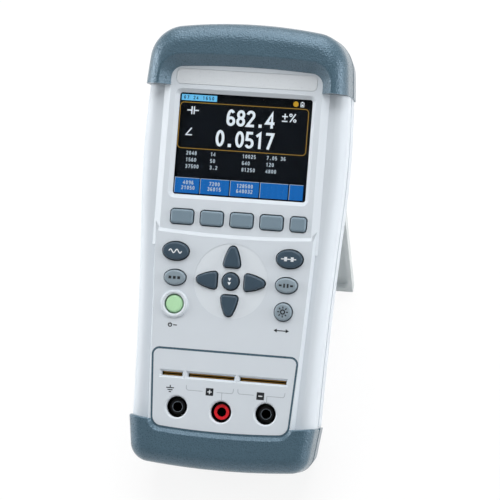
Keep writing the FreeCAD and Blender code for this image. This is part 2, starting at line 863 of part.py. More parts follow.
def display_opening():
    """Window opening with its sloped border."""
    slope = DISPLAY_SLOPE
    inner = rounded_slab(DISPLAY_HALF, (display_bottom, display_top), (0, 1), DISPLAY_CORNER)
    outer = rounded_slab(DISPLAY_HALF + slope, (display_bottom - slope, display_top + slope), (0, 1),
                         DISPLAY_CORNER + slope)
    border = taper(base_wire(inner, -DISPLAY_SLOPE_DEPTH), base_wire(outer, 0))
    through = slab(Part.Face(base_wire(inner, 0)), ceiling_z, 0)
    return border.fuse(through)


def deck_pockets():
    """Hollows behind the two decks."""
    upper_half = deck_half - POCKET_WALL
    upper_span = (upper_pocket_low, window_span()[1] + LCD_CLEAR)
    upper = box((-upper_half, upper_half), upper_span, (ceiling_z - WALL, -DECK_WALL))
    top = lower_pocket_top
    bottom = pad_y - ARROW_TIP - KEY_FLANGE - KEY_CLEAR
    top_half = lower_deck_half_at(top) - LOWER_POCKET_WALL
    bottom_half = lower_deck_half_at(bottom) - LOWER_POCKET_WALL
    corners = [V(-top_half, top, 0), V(top_half, top, 0), V(bottom_half, bottom, 0),
               V(-bottom_half, bottom, 0)]
    face = Part.Face(Part.makePolygon(corners + corners[:1]))
    lower = slab(face, ceiling_z - WALL, lower_deck_z - DECK_WALL)
    return upper.fuse(lower)


def power_collar():
    """Raised rounded ring that guards the power key."""
    x, y = side_key_place(-1, -1)
    inner = POWER_KEY_RADIUS + KEY_CLEAR
    top = lower_deck_z + POWER_COLLAR_HEIGHT
    ring = rod(inner + POWER_COLLAR_WIDTH, x, y, lower_deck_z, top).cut(rod(inner, x, y, lower_deck_z, top))
    return round_rim(ring, top, POWER_COLLAR_ROUND)


def front_case(keys):
    """Front half shell with its decks, openings and screw bosses."""
    flush = front_block(0, groove_top, shoulder_z, SHOULDER_ROUND).cut([top_zone(), bottom_zone()])
    shell = flush.fuse([front_core(), upper_deck(), lower_deck()]).removeSplitter()
    inset = SKIN + WALL
    shell = shell.cut(case_slab(-inset, parting_z, ceiling_z))
    boss_radius = SCREW_RADIUS + SCREW_BOSS_WALL
    bosses = [rod(boss_radius, x, y, parting_z, ceiling_z + WALL / 2) for x, y in case_screw_places()]
    bosses += [rod(SMALL_SCREW_HEAD_RADIUS, x, y, mat_low, ceiling_z + WALL / 2)
               for x, y in keypad_screw_places()]
    bosses = [boss.common(case_slab(-WALL / 2, parting_z, shoulder_z)) for boss in bosses]
    shell = shell.fuse(bosses)
    cuts = [display_opening(), deck_pockets()]
    cuts.append(rod(PAD_DISH_RADIUS, 0, pad_y, lower_deck_z - PAD_DISH_DEPTH, lower_deck_z + 1))
    cuts.append(slab(label_face(LABEL_CLEAR), -LABEL_THICK, 1))
    cuts.append(panel_slab(BEAD, panel_low, lower_deck_z + 1))
    cuts.append(lip_seat())
    cuts.append(panel_slab(-PANEL_LEDGE, ceiling_z - WALL, panel_low))
    for outline, x, y, deck_z, proud in keys.values():
        cuts.append(slab(outline(KEY_CLEAR), ceiling_z, deck_z + 1))
    hole = SCREW_RADIUS + SCREW_CLEAR
    for x, y in case_screw_places():
        cuts.append(rod(hole, x, y, parting_z, parting_z + SCREW_BITE + SCREW_CLEAR))
    small_hole = SMALL_SCREW_RADIUS + SCREW_CLEAR
    for x, y in keypad_screw_places():
        cuts.append(rod(small_hole, x, y, mat_low, mat_low + KEYPAD_SCREW_BITE + SCREW_CLEAR))
    for x, y in lcd_screw_places():
        cuts.append(rod(small_hole, x, y, ceiling_z, ceiling_z + LCD_SCREW_BITE + SCREW_CLEAR))
    wall = usb_wall_x()
    half = USB_WIDTH / 2 + USB_CLEAR
    cuts.append(box((wall - 1, wall + SKIN + WALL + 1), (USB_AT_Y - half, USB_AT_Y + half),
                    (board_top - USB_CLEAR, board_top + USB_HEIGHT + USB_CLEAR)))
    return shell.cut(cuts).fuse(power_collar()).removeSplitter()


def label_face(grow):
    """Plan face of the blank label strip."""
    solid = rounded_slab(LABEL_HALF + grow, (label_bottom - grow, label_top + grow), (0, 1),
                         LABEL_CORNER + grow)
    return Part.Face(base_wire(solid, 0))


def stand_reach():
    """Distance from the hinge axis that the stand's heel sweeps."""
    return math.hypot(STAND_HEEL, STAND_THICK / 2)


def stop_depth():
    """Distance from the hinge axis to the floor that stops the heel."""
    angle = math.radians(STAND_OPEN)
    heel = STAND_HEEL * math.sin(angle) + STAND_THICK / 2 * math.cos(angle)
    return heel + STAND_STOP_CLEAR


def recess_span():
    """Low and high y of the hollow that the stand folds into."""
    return HINGE_Y - STAND_LENGTH - STAND_SIDE_CLEAR, HINGE_Y + stand_reach() + STAND_SIDE_CLEAR


def bay_half():
    """Half width of the battery bay."""
    return (CELL_COUNT * CELL_DIAMETER + (CELL_COUNT + 1) * CELL_GAP) / 2


def bay_span():
    """Low and high y of the battery bay."""
    half = (CELL_LENGTH + CELL_NIB_LENGTH) / 2 + CONTACT_ROOM
    return BAY_MIDDLE_Y - half, BAY_MIDDLE_Y + half


def cover_span(grow):
    """Low and high y of the battery cover, grown by an amount."""
    edge = COVER_LEDGE + grow
    return bay_span()[0] - edge - COVER_TAB, bay_span()[1] + edge


def cover_screw_place():
    """Centre of the screw that holds the battery cover."""
    return 0.0, cover_span(0)[0] + COVER_TAB / 2


def cover_slab(grow, low, high):
    """Battery cover outline, grown by an amount, with its screw tab."""
    x_half = bay_half() + COVER_LEDGE + grow
    lid_low = bay_span()[0] - COVER_LEDGE - grow
    lid = rounded_slab(x_half, (lid_low, cover_span(grow)[1]), (low, high), COVER_CORNER + grow)
    tab = rounded_slab(COVER_TAB_HALF + grow, (cover_span(grow)[0], lid_low + COVER_CORNER),
                       (low, high), COVER_CORNER / 2 + grow)
    return lid.fuse(tab).removeSplitter()


def rear_envelope():
    """Rear half of the case as a solid block, stepped in under the bumpers."""
    flush = rear_block(0, back_z, BACK_ROUND).cut([top_zone(), bottom_zone()])
    core = rear_block(-SKIN, back_z + SKIN, BACK_ROUND - SKIN)
    return flush.fuse(core).removeSplitter()


def rear_case():
    """Rear half shell with the stand's hollow, the battery bay, posts and screw wells."""
    envelope = rear_envelope()
    inset = SKIN + WALL
    inner_back = back_z + inset
    recess_half = STAND_HALF + STAND_SIDE_CLEAR
    low, high = recess_span()
    floor_top = cover_top + COVER_LEDGE_THICK
    pocket_top = hinge_z + stop_depth()
    pocket_low = HINGE_Y - stand_reach() - STAND_SIDE_CLEAR
    side = recess_half + HINGE_PIN_LENGTH + HINGE_END_CLEAR + RECESS_WALL
    solid = [box((-side, side), (low - RECESS_WALL, high + RECESS_WALL), (back_z, floor_top))]
    solid.append(box((-side, side), (pocket_low - RECESS_WALL, high + RECESS_WALL),
                     (back_z, pocket_top + POCKET_FLOOR)))
    bay_low, bay_high = bay_span()
    solid.append(box((-bay_half() - BAY_WALL, bay_half() + BAY_WALL),
                     (bay_low - BAY_WALL, bay_high + BAY_WALL), (back_z, bay_roof + BAY_WALL)))
    well_radius = SCREW_HEAD_RADIUS + SCREW_WELL_CLEAR
    solid += [rod(well_radius + SCREW_BOSS_WALL, x, y, back_z, parting_z) for x, y in case_screw_places()]
    cover_x, cover_y = cover_screw_place()
    solid.append(rod(SCREW_HEAD_RADIUS, cover_x, cover_y, back_z, cover_top + BOARD_SCREW_BITE))
    solid.append(rod(SCOOP_RADIUS + RECESS_WALL, 0, low, back_z, back_z + SCOOP_DEPTH + RECESS_WALL))
    solid += [rod(BOARD_POST_RADIUS, x, y, back_z, board_low) for x, y in board_screw_places()]
    room = rear_block(-inset, inner_back, BACK_ROUND - SKIN).cut(solid)
    cuts = [room, box((-recess_half, recess_half), (low, high), (back_z - 1, recess_floor))]
    cuts.append(box((-recess_half, recess_half), (pocket_low, high), (back_z - 1, pocket_top)))
    pin_half = recess_half + HINGE_PIN_LENGTH + HINGE_END_CLEAR - STAND_SIDE_CLEAR
    cuts.append(Part.makeCylinder(HINGE_PIN_RADIUS + HINGE_PIN_CLEAR, 2 * pin_half,
                                  V(-pin_half, HINGE_Y, hinge_z), V(1, 0, 0)))
    cuts.append(rod(SCOOP_RADIUS, 0, low, back_z - 1, back_z + SCOOP_DEPTH))
    cuts.append(cover_slab(COVER_CLEAR, recess_floor - 1, cover_top))
    cuts.append(box((-bay_half(), bay_half()), bay_span(), (cover_top - 1, bay_roof)))
    hole = SCREW_RADIUS + SCREW_CLEAR
    for x, y in case_screw_places():
        cuts.append(rod(well_radius, x, y, back_z - 1, back_z + SCREW_WELL_DEPTH))
        cuts.append(rod(hole, x, y, back_z, parting_z + 1))
    small_hole = SMALL_SCREW_RADIUS + SCREW_CLEAR
    for x, y in board_screw_places():
        cuts.append(rod(small_hole, x, y, board_low - BOARD_SCREW_BITE - SCREW_CLEAR, board_low))
    cuts.append(rod(small_hole, cover_x, cover_y, cover_top,
                    cover_top + BOARD_SCREW_BITE - BAY_WALL))
    return envelope.cut(cuts).removeSplitter()


# Bumpers

def top_bumper_front():
    """Rubber brow over the display end, sloped down to the deck inside."""
    block = front_block(BROW_PROUD, groove_top, BROW_HEIGHT, BROW_ROUND).common(top_zone())
    over = BROW_HEIGHT + 1
    slope = BROW_SLOPE_RUN * over / BROW_HEIGHT
    arch = taper(arch_wire(0, 0), arch_wire(slope, over))
    brow = block.cut([front_core(), upper_deck(), arch]).removeSplitter()
    return round_crest(brow, [arch], BROW_HEIGHT / 2, BROW_EDGE_ROUND)


def lip_seat():
    """Step in the keypad deck that roots the chin's lip under the terminal panel."""
    return panel_slab(BEAD + LIP_SEAT, panel_low, lower_deck_z).common(bottom_zone())


def bottom_bumper_front():
    """Rubber chin under the terminal panel, with the bead round the panel."""
    top = lower_deck_z + CHIN_HEIGHT
    zone = bottom_zone()
    block = front_block(CHIN_PROUD, groove_top, top, CHIN_ROUND).common(zone)
    over = CHIN_HEIGHT + 1
    slope = LIP_RUN * over / CHIN_HEIGHT
    lower = base_wire(panel_slab(BEAD, 0, 1), lower_deck_z)
    upper = base_wire(panel_slab(BEAD + slope, 0, 1), lower_deck_z + over)
    lip = taper(lower, upper)
    chin = block.cut([front_core(), lower_deck(), lip]).removeSplitter()
    chin = round_crest(chin, [zone, lip], top - CHIN_HEIGHT / 2, CHIN_EDGE_ROUND)
    root = lip_seat().cut(panel_slab(BEAD, panel_low, lower_deck_z))
    bead_top = lower_deck_z - BEAD_DROP
    bead = panel_slab(BEAD, panel_low, bead_top).cut(panel_slab(0, panel_low, bead_top))
    return chin.fuse([root, bead]).removeSplitter()


def rear_bumper(zone, proud, wells):
    """Rubber skin round one end of the rear half."""
    block = rear_block(proud, back_z - proud, BUMPER_BACK_ROUND).common(zone)
    radius = SCREW_HEAD_RADIUS + SCREW_WELL_CLEAR
    holes = [rod(radius, x, y, back_z - FAR, parting_z) for x, y in wells]
    return block.cut([rear_envelope()] + holes).removeSplitter()


# Terminal panel and what sits behind it

def slot_cut(span):
    """Through slot with a sloped border on the front."""
    left, right = span
    half = SLOT_WIDTH / 2
    through = box((left, right), (slot_y - half, slot_y + half), (panel_low - 1, lower_deck_z + 1))
    wires = []
    for grow, height in ((0, lower_deck_z - SLOT_BEVEL_DEPTH), (SLOT_BEVEL, lower_deck_z)):
        corners = [V(left - grow, slot_y - half - grow, height), V(right + grow, slot_y - half - grow, height),
                   V(right + grow, slot_y + half + grow, height), V(left - grow, slot_y + half + grow, height)]
        wires.append(Part.makePolygon(corners + corners[:1]))
    return through.fuse(taper(*wires))


def terminal_panel():
    """Front panel with three slots and three jack holes."""
    panel = panel_slab(0, panel_low, lower_deck_z)
    cuts = [slot_cut(span) for span in SLOT_SPANS.values()]
    for x, y in jack_places().values():
        cuts.append(rod(JACK_HOLE_RADIUS, x, y, panel_low - 1, lower_deck_z + 1))
        cuts.append(Part.makeCone(JACK_HOLE_RADIUS, JACK_HOLE_RADIUS + JACK_HOLE_EDGE, JACK_HOLE_EDGE,
                                  V(x, y, lower_deck_z - JACK_HOLE_EDGE)))
    return panel.cut(cuts).removeSplitter()


def jack_shrouds():
    """Black wells around the three jacks, standing on the main board."""
    shrouds = []
    for x, y in jack_places().values():
        outer = rod(JACK_HOLE_RADIUS + SHROUD_WALL, x, y, board_top, panel_low)
        shrouds.append(outer.cut(rod(JACK_HOLE_RADIUS, x, y, board_top, panel_low)))
    return Part.makeCompound(shrouds)


def sleeve_radius():
    """Outer radius of a jack's metal sleeve."""
    return JACK_BORE_RADIUS + SLEEVE_WALL


def jack_insulator(place):
    """Coloured collar round one jack's sleeve, with a lip over its end."""
    x, y = place
    collar = rod(INSULATOR_RADIUS, x, y, board_top, insulator_front)
    sleeve_room = rod(sleeve_radius() + SLEEVE_CLEAR, x, y, board_top, sleeve_front)
    mouth = rod(JACK_BORE_RADIUS, x, y, sleeve_front, insulator_front)
    return collar.cut([sleeve_room, mouth])


def jack_sockets():
    """Metal sleeves of the three jacks."""
    sleeves = []
    low = sleeve_front - JACK_DEPTH
    for x, y in jack_places().values():
        outer = rod(sleeve_radius(), x, y, low - SLEEVE_END, sleeve_front)
        sleeves.append(outer.cut(rod(JACK_BORE_RADIUS, x, y, low, sleeve_front)))
    return Part.makeCompound(sleeves)


def leaf_pair(span):
    """Two sprung leaves that rise into one slot and pinch a component lead."""
    left, right = span[0] + LEAF_END_GAP, span[1] - LEAF_END_GAP
    top = lower_deck_z - SLOT_BEVEL_DEPTH - LEAF_TOP_GAP
    pinch = top - LEAF_PINCH_DROP
    flare = SLOT_WIDTH / 2 - LEAF_SLOT_CLEAR - LEAF_THICK
    leaves = []
    for side in (-1, 1):
        inner = [(LEAF_STANCE + LEAF_FOOT, board_top), (LEAF_STANCE, board_top),
                 (LEAF_STANCE, board_top + LEAF_FOOT), (LEAF_PINCH, pinch), (flare, top)]
        outer = [(flare + LEAF_THICK, top), (LEAF_PINCH + LEAF_THICK, pinch),
                 (LEAF_STANCE + LEAF_THICK, board_top + LEAF_FOOT),
                 (LEAF_STANCE + LEAF_THICK, board_top + LEAF_THICK),
                 (LEAF_STANCE + LEAF_FOOT, board_top + LEAF_THICK)]
        corners = [V(left, slot_y + side * y, z) for y, z in inner + outer]
        face = Part.Face(Part.makePolygon(corners + corners[:1]))
        leaves.append(face.extrude(V(right - left, 0, 0)))
    return Part.makeCompound(leaves)


# Display module

def ring_slab(outer_half, outer_span, inner_half, inner_span, low, high):
    """Rectangular frame between two heights."""
    outer = box((-outer_half, outer_half), outer_span, (low, high))
    return outer.cut(box((-inner_half, inner_half), inner_span, (low, high)))


def window_half():
    """Half width of the display window."""
    return DISPLAY_HALF + WINDOW_MARGIN


def display_window():
    """Clear window behind the display opening."""
    return box((-window_half(), window_half()), window_span(), (window_back, -DECK_WALL))


def window_gasket():
    """Foam frame between the window and the display module."""
    inner_span = (display_bottom - GASKET_SETBACK, display_top + GASKET_SETBACK)
    return ring_slab(window_half(), window_span(), DISPLAY_HALF + GASKET_SETBACK, inner_span,
                     lcd_front, window_back)


def lcd_module():
    """Flat display module."""
    return box((-lcd_half(), lcd_half()), lcd_span(), (lcd_back, lcd_front))


def lcd_frame():
    """Tray that holds the display module against the front case."""
    tray = box((-lcd_frame_half(), lcd_frame_half()), lcd_frame_span(), (lcd_frame_back, ceiling_z))
    room_half = lcd_half() + LCD_CLEAR
    room_span = (lcd_span()[0] - LCD_CLEAR, lcd_span()[1] + LCD_CLEAR)
    tray = tray.cut(box((-room_half, room_half), room_span, (lcd_back, ceiling_z)))
    slit_half = RIBBON_WIDTH / 2 + LCD_CLEAR
    slit = box((-slit_half, slit_half), (display_y - RIBBON_RUN, display_y), (lcd_frame_back, lcd_back))
    ears = []
    holes = [slit]
    for x, y in lcd_screw_places():
        reach = sorted((x - math.copysign(LCD_EAR_REACH, x), x + math.copysign(LCD_EAR_REACH / 2, x)))
        ear = box(reach, (y - LCD_EAR_WIDTH / 2, y + LCD_EAR_WIDTH / 2), (ceiling_z - LCD_EAR_THICK, ceiling_z))
        inside = box((-room_half, room_half), room_span, (lcd_back, ceiling_z))
        ears.append(ear.cut(inside))
        holes.append(rod(SMALL_SCREW_RADIUS + SCREW_CLEAR, x, y, ceiling_z - LCD_EAR_THICK, ceiling_z))
    return tray.fuse(ears).cut(holes).removeSplitter()


def lcd_ribbon():
    """Flat ribbon from the back of the display module down to the main board."""
    half = RIBBON_WIDTH / 2
    top_y = display_y - LCD_CLEAR
    low_y = display_y - RIBBON_RUN + LCD_CLEAR
    thick = RIBBON_THICK
    path = [(top_y, lcd_back), (top_y, lcd_back - thick), (low_y + thick, lcd_back - thick),
            (low_y + thick, board_top + thick), (top_y, board_top + thick), (top_y, board_top),
            (low_y, board_top), (low_y, lcd_back)]
    corners = [V(-half, y, z) for y, z in path]
    face = Part.Face(Part.makePolygon(corners + corners[:1]))
    return face.extrude(V(RIBBON_WIDTH, 0, 0))


# Boards and what they carry

def keypad_mat():
    """Rubber mat over the keypad board, drawn at its pressed height."""
    low = pad_y - ARROW_TIP - KEY_FLANGE
    high = keypad_board_span()[1] - KEYPAD_BOARD_GAP
    return box((-MAT_HALF, MAT_HALF), (low, high), (mat_low, mat_top))


def keypad_board():
    """Circuit board behind the keys."""
    board = box((-KEYPAD_BOARD_HALF, KEYPAD_BOARD_HALF), keypad_board_span(), (keypad_board_low, mat_low))
    hole = SMALL_SCREW_RADIUS + SCREW_CLEAR
    return board.cut([rod(hole, x, y, keypad_board_low, mat_low) for x, y in keypad_screw_places()])


def usb_span():
    """Mouth and back x of the data socket."""
    mouth = usb_wall_x() + USB_INSET
    return mouth, mouth + USB_DEPTH


def main_board():
    """Main circuit board with a tab for the data socket."""
    board = box((-board_half(), board_half()), board_span(), (board_low, board_top))
    tab_half = USB_WIDTH / 2 + USB_TAB_MARGIN
    tab_left = usb_wall_x() + SKIN + WALL + USB_CLEAR
    tab = box((tab_left, -board_half() + 1), (USB_AT_Y - tab_half, USB_AT_Y + tab_half), (board_low, board_top))
    holes = [rod(SMALL_SCREW_RADIUS + SCREW_CLEAR, x, y, board_low, board_top)
             for x, y in board_screw_places()]
    holes += [rod(sleeve_radius() + SLEEVE_CLEAR, x, y, board_low, board_top)
              for x, y in jack_places().values()]
    boss = SCREW_HEAD_RADIUS + SCREW_WELL_CLEAR + SCREW_BOSS_WALL + USB_CLEAR
    holes += [rod(boss, x, y, board_low, board_top) for x, y in case_screw_places()]
    return board.fuse(tab).cut(holes).removeSplitter()


def board_block(place, size):
    """Box-shaped component standing on the main board."""
    x, y = place
    width, length, height = size
    return box((x - width / 2, x + width / 2), (y - length / 2, y + length / 2),
               (board_top, board_top + height))


def range_relays():
    """Row of small relays above the spring contacts."""
    first = -RELAY_PITCH * (RELAY_COUNT - 1) / 2
    y = slot_y + RELAY_RISE
    return Part.makeCompound([
        board_block((first + number * RELAY_PITCH, y), RELAY_SIZE) for number in range(RELAY_COUNT)
    ])


def buzzer():
    """Round sounder with its sound hole."""
    x, y = BUZZER_AT
    body = rod(BUZZER_RADIUS, x, y, board_top, board_top + BUZZER_HEIGHT)
    return body.cut(rod(BUZZER_HOLE, x, y, board_top + BUZZER_HEIGHT / 2, board_top + BUZZER_HEIGHT))


def usb_socket():
    """Data socket in the left wall."""
    mouth, back = usb_span()
    half = USB_WIDTH / 2
    top = board_top + USB_HEIGHT
    shell = box((mouth, back), (USB_AT_Y - half, USB_AT_Y + half), (board_top, top))
    room = box((mouth, back - USB_SKIN), (USB_AT_Y - half + USB_SKIN, USB_AT_Y + half - USB_SKIN),
               (board_top + USB_SKIN, top - USB_SKIN))
    middle = (board_top + top) / 2
    tongue = box((mouth + USB_INSET, back), (USB_AT_Y - half / 2, USB_AT_Y + half / 2),
                 (middle - USB_TONGUE / 2, middle + USB_TONGUE / 2))
    return shell.cut(room).fuse(tongue).removeSplitter()


# Battery bay

def cell_places():
    """Centre x of each cell and the way its nib points."""
    pitch = CELL_DIAMETER + CELL_GAP
    first = -pitch * (CELL_COUNT - 1) / 2
    return [(first + number * pitch, 1 if number % 2 else -1) for number in range(CELL_COUNT)]


def battery_cells():
    """Round cells lying side by side, turned end for end in turn."""
    cells = []
    for x, way in cell_places():
        half = (CELL_LENGTH + CELL_NIB_LENGTH) / 2
        start = V(x, BAY_MIDDLE_Y - way * half, cell_z)
        can = Part.makeCylinder(CELL_DIAMETER / 2, CELL_LENGTH, start, V(0, way, 0))
        nib = Part.makeCylinder(CELL_NIB_RADIUS, CELL_LENGTH + CELL_NIB_LENGTH, start, V(0, way, 0))
        cells.append(can.fuse(nib).removeSplitter())
    return Part.makeCompound(cells)


def battery_contacts():
    """Contact plates with pressed buttons at both ends of every cell."""
    contacts = []
    half = CONTACT_WIDTH / 2
    for x, way in cell_places():
        for end, wall_y in zip((1, -1), reversed(bay_span())):
            plate_span = sorted((wall_y, wall_y - end * CONTACT_THICK))
            plate = box((x - half, x + half), plate_span, (cell_z - half, cell_z + half))
            button = Part.makeCylinder(CONTACT_BUTTON_RADIUS, CONTACT_ROOM - CONTACT_GAP,
                                       V(x, wall_y, cell_z), V(0, -end, 0))
            contacts.append(plate.fuse(button).removeSplitter())
    return Part.makeCompound(contacts)


def battery_cover():
    """Cover over the battery bay, held by one screw."""
    x, y = cover_screw_place()
    cover = cover_slab(0, recess_floor, cover_top)
    head = rod(SMALL_SCREW_HEAD_RADIUS + SCREW_CLEAR, x, y, recess_floor, recess_floor + COVER_THICK / 2)
    hole = rod(SMALL_SCREW_RADIUS + SCREW_CLEAR, x, y, recess_floor, cover_top)
    return cover.cut([head, hole])


def battery_cover_screw():
    """Screw of the battery cover, with its head sunk into the cover."""
    x, y = cover_screw_place()
    return screw(x, y, recess_floor + COVER_THICK / 2, -1, BOARD_SCREW_BITE - BAY_WALL, SMALL_SCREW_RADIUS,
                 SMALL_SCREW_HEAD_RADIUS, COVER_THICK / 2)


# Tilt stand

def tilt_stand():
    """Tray-shaped stand on two moulded hinge pins, swung open."""
    half_thick = STAND_THICK / 2
    stand = rounded_slab(STAND_HALF, (-STAND_LENGTH - STAND_LIP, STAND_HEEL), (-half_thick, half_thick),
                         STAND_HEEL / 2)
    tray_half = STAND_HALF - STAND_FLANGE
    tray = rounded_slab(tray_half, (-STAND_LENGTH + STAND_LIP, -STAND_BRIDGE),
                        (-half_thick + STAND_PLATE, half_thick), STAND_CORNER)
    pins = [Part.makeCylinder(HINGE_PIN_RADIUS, HINGE_PIN_LENGTH, V(side * STAND_HALF, 0, 0), V(side, 0, 0))
            for side in (-1, 1)]
    stand = stand.cut(tray).fuse(pins).removeSplitter()
    stand.rotate(V(0, 0, 0), V(1, 0, 0), STAND_OPEN)
    stand.translate(V(0, HINGE_Y, hinge_z))
    return stand


# Standing pose

def recline():
    """Angle of the case to the bench when it rests on its chin and the stand's foot."""
    draft = math.radians(REAR_DRAFT)
    back = back_z - CHIN_PROUD
    corner_y = case_bottom - CHIN_PROUD + (parting_z - back) * math.tan(draft)
    run = BUMPER_BACK_ROUND / math.tan((math.pi / 2 + draft) / 2)
    chin = (corner_y + run, back + BUMPER_BACK_ROUND)
    foot = foot_point()
    span = (foot[0] - chin[0], foot[1] - chin[1])
    slope = math.atan2(span[1], span[0])
    return -slope - math.asin(BUMPER_BACK_ROUND / math.hypot(*span))


def foot_point():
    """Middle of the stand's foot as (y, z) in the case frame."""
    angle = math.radians(STAND_OPEN)
    return HINGE_Y - STAND_LENGTH * math.cos(angle), hinge_z - STAND_LENGTH * math.sin(angle)


def stood_up(shapes):
    """Turn every shape from the case frame to the bench, centred on its footprint."""
    angle = recline()
    foot_y, foot_z = foot_point()
    lift = -(foot_y * math.sin(angle) + foot_z * math.cos(angle))
    turned = {}
    for name, shape in shapes.items():
        copy = shape.copy()
        copy.rotate(V(0, 0, 0), V(1, 0, 0), math.degrees(angle))
        copy.translate(V(0, 0, lift))
        turned[name] = copy
    under = box((-FAR, FAR), (-FAR, FAR), (-FAR, 0))
    turned["tilt_stand"] = turned["tilt_stand"].cut(under)
    bounds = Part.makeCompound(list(turned.values())).optimalBoundingBox(False)
    shift = -(bounds.YMin + bounds.YMax) / 2
    for shape in turned.values():
        shape.translate(V(0, shift, 0))
    return turned


def build():
    """Every piece of the tester in the case frame, by node name."""
    keys = key_table()
    shapes = {"front_case": front_case(keys), "rear_case": rear_case()}
    shapes["top_bumper_front"] = top_bumper_front()
    shapes["bottom_bumper_front"] = bottom_bumper_front()
    top_wells = case_screw_places()[:2]
    shapes["top_bumper_rear"] = rear_bumper(top_zone(), BROW_PROUD, top_wells)
    shapes["bottom_bumper_rear"] = rear_bumper(bottom_zone(), CHIN_PROUD, [])
    shapes["label_plate"] = slab(label_face(0), -LABEL_THICK, 0)
    shapes["display_window"] = display_window()
    shapes["window_gasket"] = window_gasket()
    shapes["lcd_module"] = lcd_module()
    shapes["lcd_frame"] = lcd_frame()
    shapes["lcd_ribbon"] = lcd_ribbon()
    for name, key in keys.items():
        shapes[name] = make_key(*key)
    shapes["keypad_mat"] = keypad_mat()
    shapes["keypad_board"] = keypad_board()
    shapes["main_board"] = main_board()
    shapes["processor_chip"] = board_block(CHIP_AT, CHIP_SIZE)
    shapes["shield_can"] = board_block(SHIELD_AT, SHIELD_SIZE)
    shapes["range_relays"] = range_relays()
    shapes["buzzer"] = buzzer()
    shapes["usb_socket"] = usb_socket()
    shapes["terminal_panel"] = terminal_panel()
    shapes["jack_shrouds"] = jack_shrouds()
    for name, place in jack_places().items():
        shapes[f"{name}_jack_insulator"] = jack_insulator(place)
        shapes[f"{name}_contacts"] = leaf_pair(SLOT_SPANS[name])
    shapes["jack_sockets"] = jack_sockets()
    shapes["battery_cells"] = battery_cells()
    shapes["battery_contacts"] = battery_contacts()
    shapes["battery_cover"] = battery_cover()
    shapes["battery_cover_screw"] = battery_cover_screw()
    seat = back_z + SCREW_WELL_DEPTH
    reach = parting_z + SCREW_BITE - seat
    shapes["case_screws"] = Part.makeCompound([
        screw(x, y, seat, -1, reach, SCREW_RADIUS, SCREW_HEAD_RADIUS, SCREW_HEAD_HEIGHT)
        for x, y in case_screw_places()
    ])
    shapes["board_screws"] = small_screws(board_screw_places(), board_top, 1, BOARD_THICK + BOARD_SCREW_BITE)
    shapes["keypad_screws"] = small_screws(keypad_screw_places(), keypad_board_low, -1,
                                           KEYPAD_BOARD_THICK + KEYPAD_SCREW_BITE)
    shapes["lcd_screws"] = small_screws(lcd_screw_places(), ceiling_z - LCD_EAR_THICK, -1,
                                        LCD_EAR_THICK + LCD_SCREW_BITE)
    shapes["tilt_stand"] = tilt_stand()
    return shapes


parts = stood_up(build())
os.makedirs("parts", exist_ok=True)
for node, solid in parts.items():
    solid.exportStep(os.path.join("parts", node + ".step"))
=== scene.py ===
"""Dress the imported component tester: finishes, printed marks, lit display, studio and camera."""

from __future__ import annotations

import json
import logging
import math
from dataclasses import dataclass, field, replace
from enum import Enum, IntEnum
from typing import Any, Iterable, Mapping, Sequence

import bpy
import numpy as np
from mathutils import Matrix


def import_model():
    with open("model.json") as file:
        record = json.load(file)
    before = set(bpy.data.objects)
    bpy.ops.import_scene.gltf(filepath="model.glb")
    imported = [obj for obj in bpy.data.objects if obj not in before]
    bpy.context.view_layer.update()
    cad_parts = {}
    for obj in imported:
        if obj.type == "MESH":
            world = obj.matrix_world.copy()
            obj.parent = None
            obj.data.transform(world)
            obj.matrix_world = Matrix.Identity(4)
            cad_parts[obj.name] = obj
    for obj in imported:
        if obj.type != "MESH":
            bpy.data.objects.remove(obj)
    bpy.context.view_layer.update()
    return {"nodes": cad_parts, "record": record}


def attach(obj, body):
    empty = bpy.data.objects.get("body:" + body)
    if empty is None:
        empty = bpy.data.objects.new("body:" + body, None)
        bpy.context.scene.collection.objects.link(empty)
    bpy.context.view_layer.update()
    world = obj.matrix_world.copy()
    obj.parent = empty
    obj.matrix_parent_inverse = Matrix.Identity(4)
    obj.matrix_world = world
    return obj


LOG = logging.getLogger("tester")

Array = np.ndarray
Tree = bpy.types.NodeTree
Socket = bpy.types.NodeSocket
Points = Sequence[Sequence[float]] | Array
Vector = tuple[float, float, float]
Span = tuple[float, float]
# Left, right, bottom and top of a box in plan, in mm.
Box = tuple[float, float, float, float]
# Heights of a layer's underside and top, in mm.
Layer = tuple[float, float]
# Vertices in mm, and blocks of faces that have the same number of corners within a block.
Surface = tuple[Array, list[Array]]
# Digits, points and spaces, then the left end and the foot of their line in mm.
PlacedNumber = tuple[str, float, float]

MM = 0.001
# Height of the keypad's deck, and places on it, in the case's own millimetres.
DECK_MM = 0.8
PAD_Y_MM = -13.4
HIGH_SLOT_MM = (-5.35, -53.9, DECK_MM)
# Thickness of a print or of a lit layer, and how deep one layer sinks into another.
LAYER_MM = 0.03
OVERLAP_MM = 0.01
# Bands that Blender's wave texture draws per unit at a scale of one.
WAVE_BANDS = 20.0 / math.tau
# Least cosine of a corner's half turn, so that a sharp mitre stays short.
MITRE_LIMIT = 0.5
# Points on a quarter circle, on an arc of a digit and on the two periods of a wave.
QUARTER_POINTS = 7
ARC_POINTS = 17
WAVE_POINTS = 49


class Axis(IntEnum):
    """Axis of a turn, by its place in a point."""

    X = 0
    Y = 1
    Z = 2


def linear(hex_colour: str) -> tuple[float, float, float, float]:
    """Turn an sRGB hex colour into linear RGBA: a straight foot, then a power of 2.4.

    Args:
        hex_colour: Colour such as "#c8cfd6".

    Returns:
        Linear red, green, blue and an alpha of one.
    """
    srgb = np.array([int(hex_colour[i:i + 2], 16) for i in (1, 3, 5)]) / 255.0
    value = np.where(srgb <= 0.04045, srgb / 12.92, ((srgb + 0.055) / 1.055) ** 2.4)
    return (*value.tolist(), 1.0)


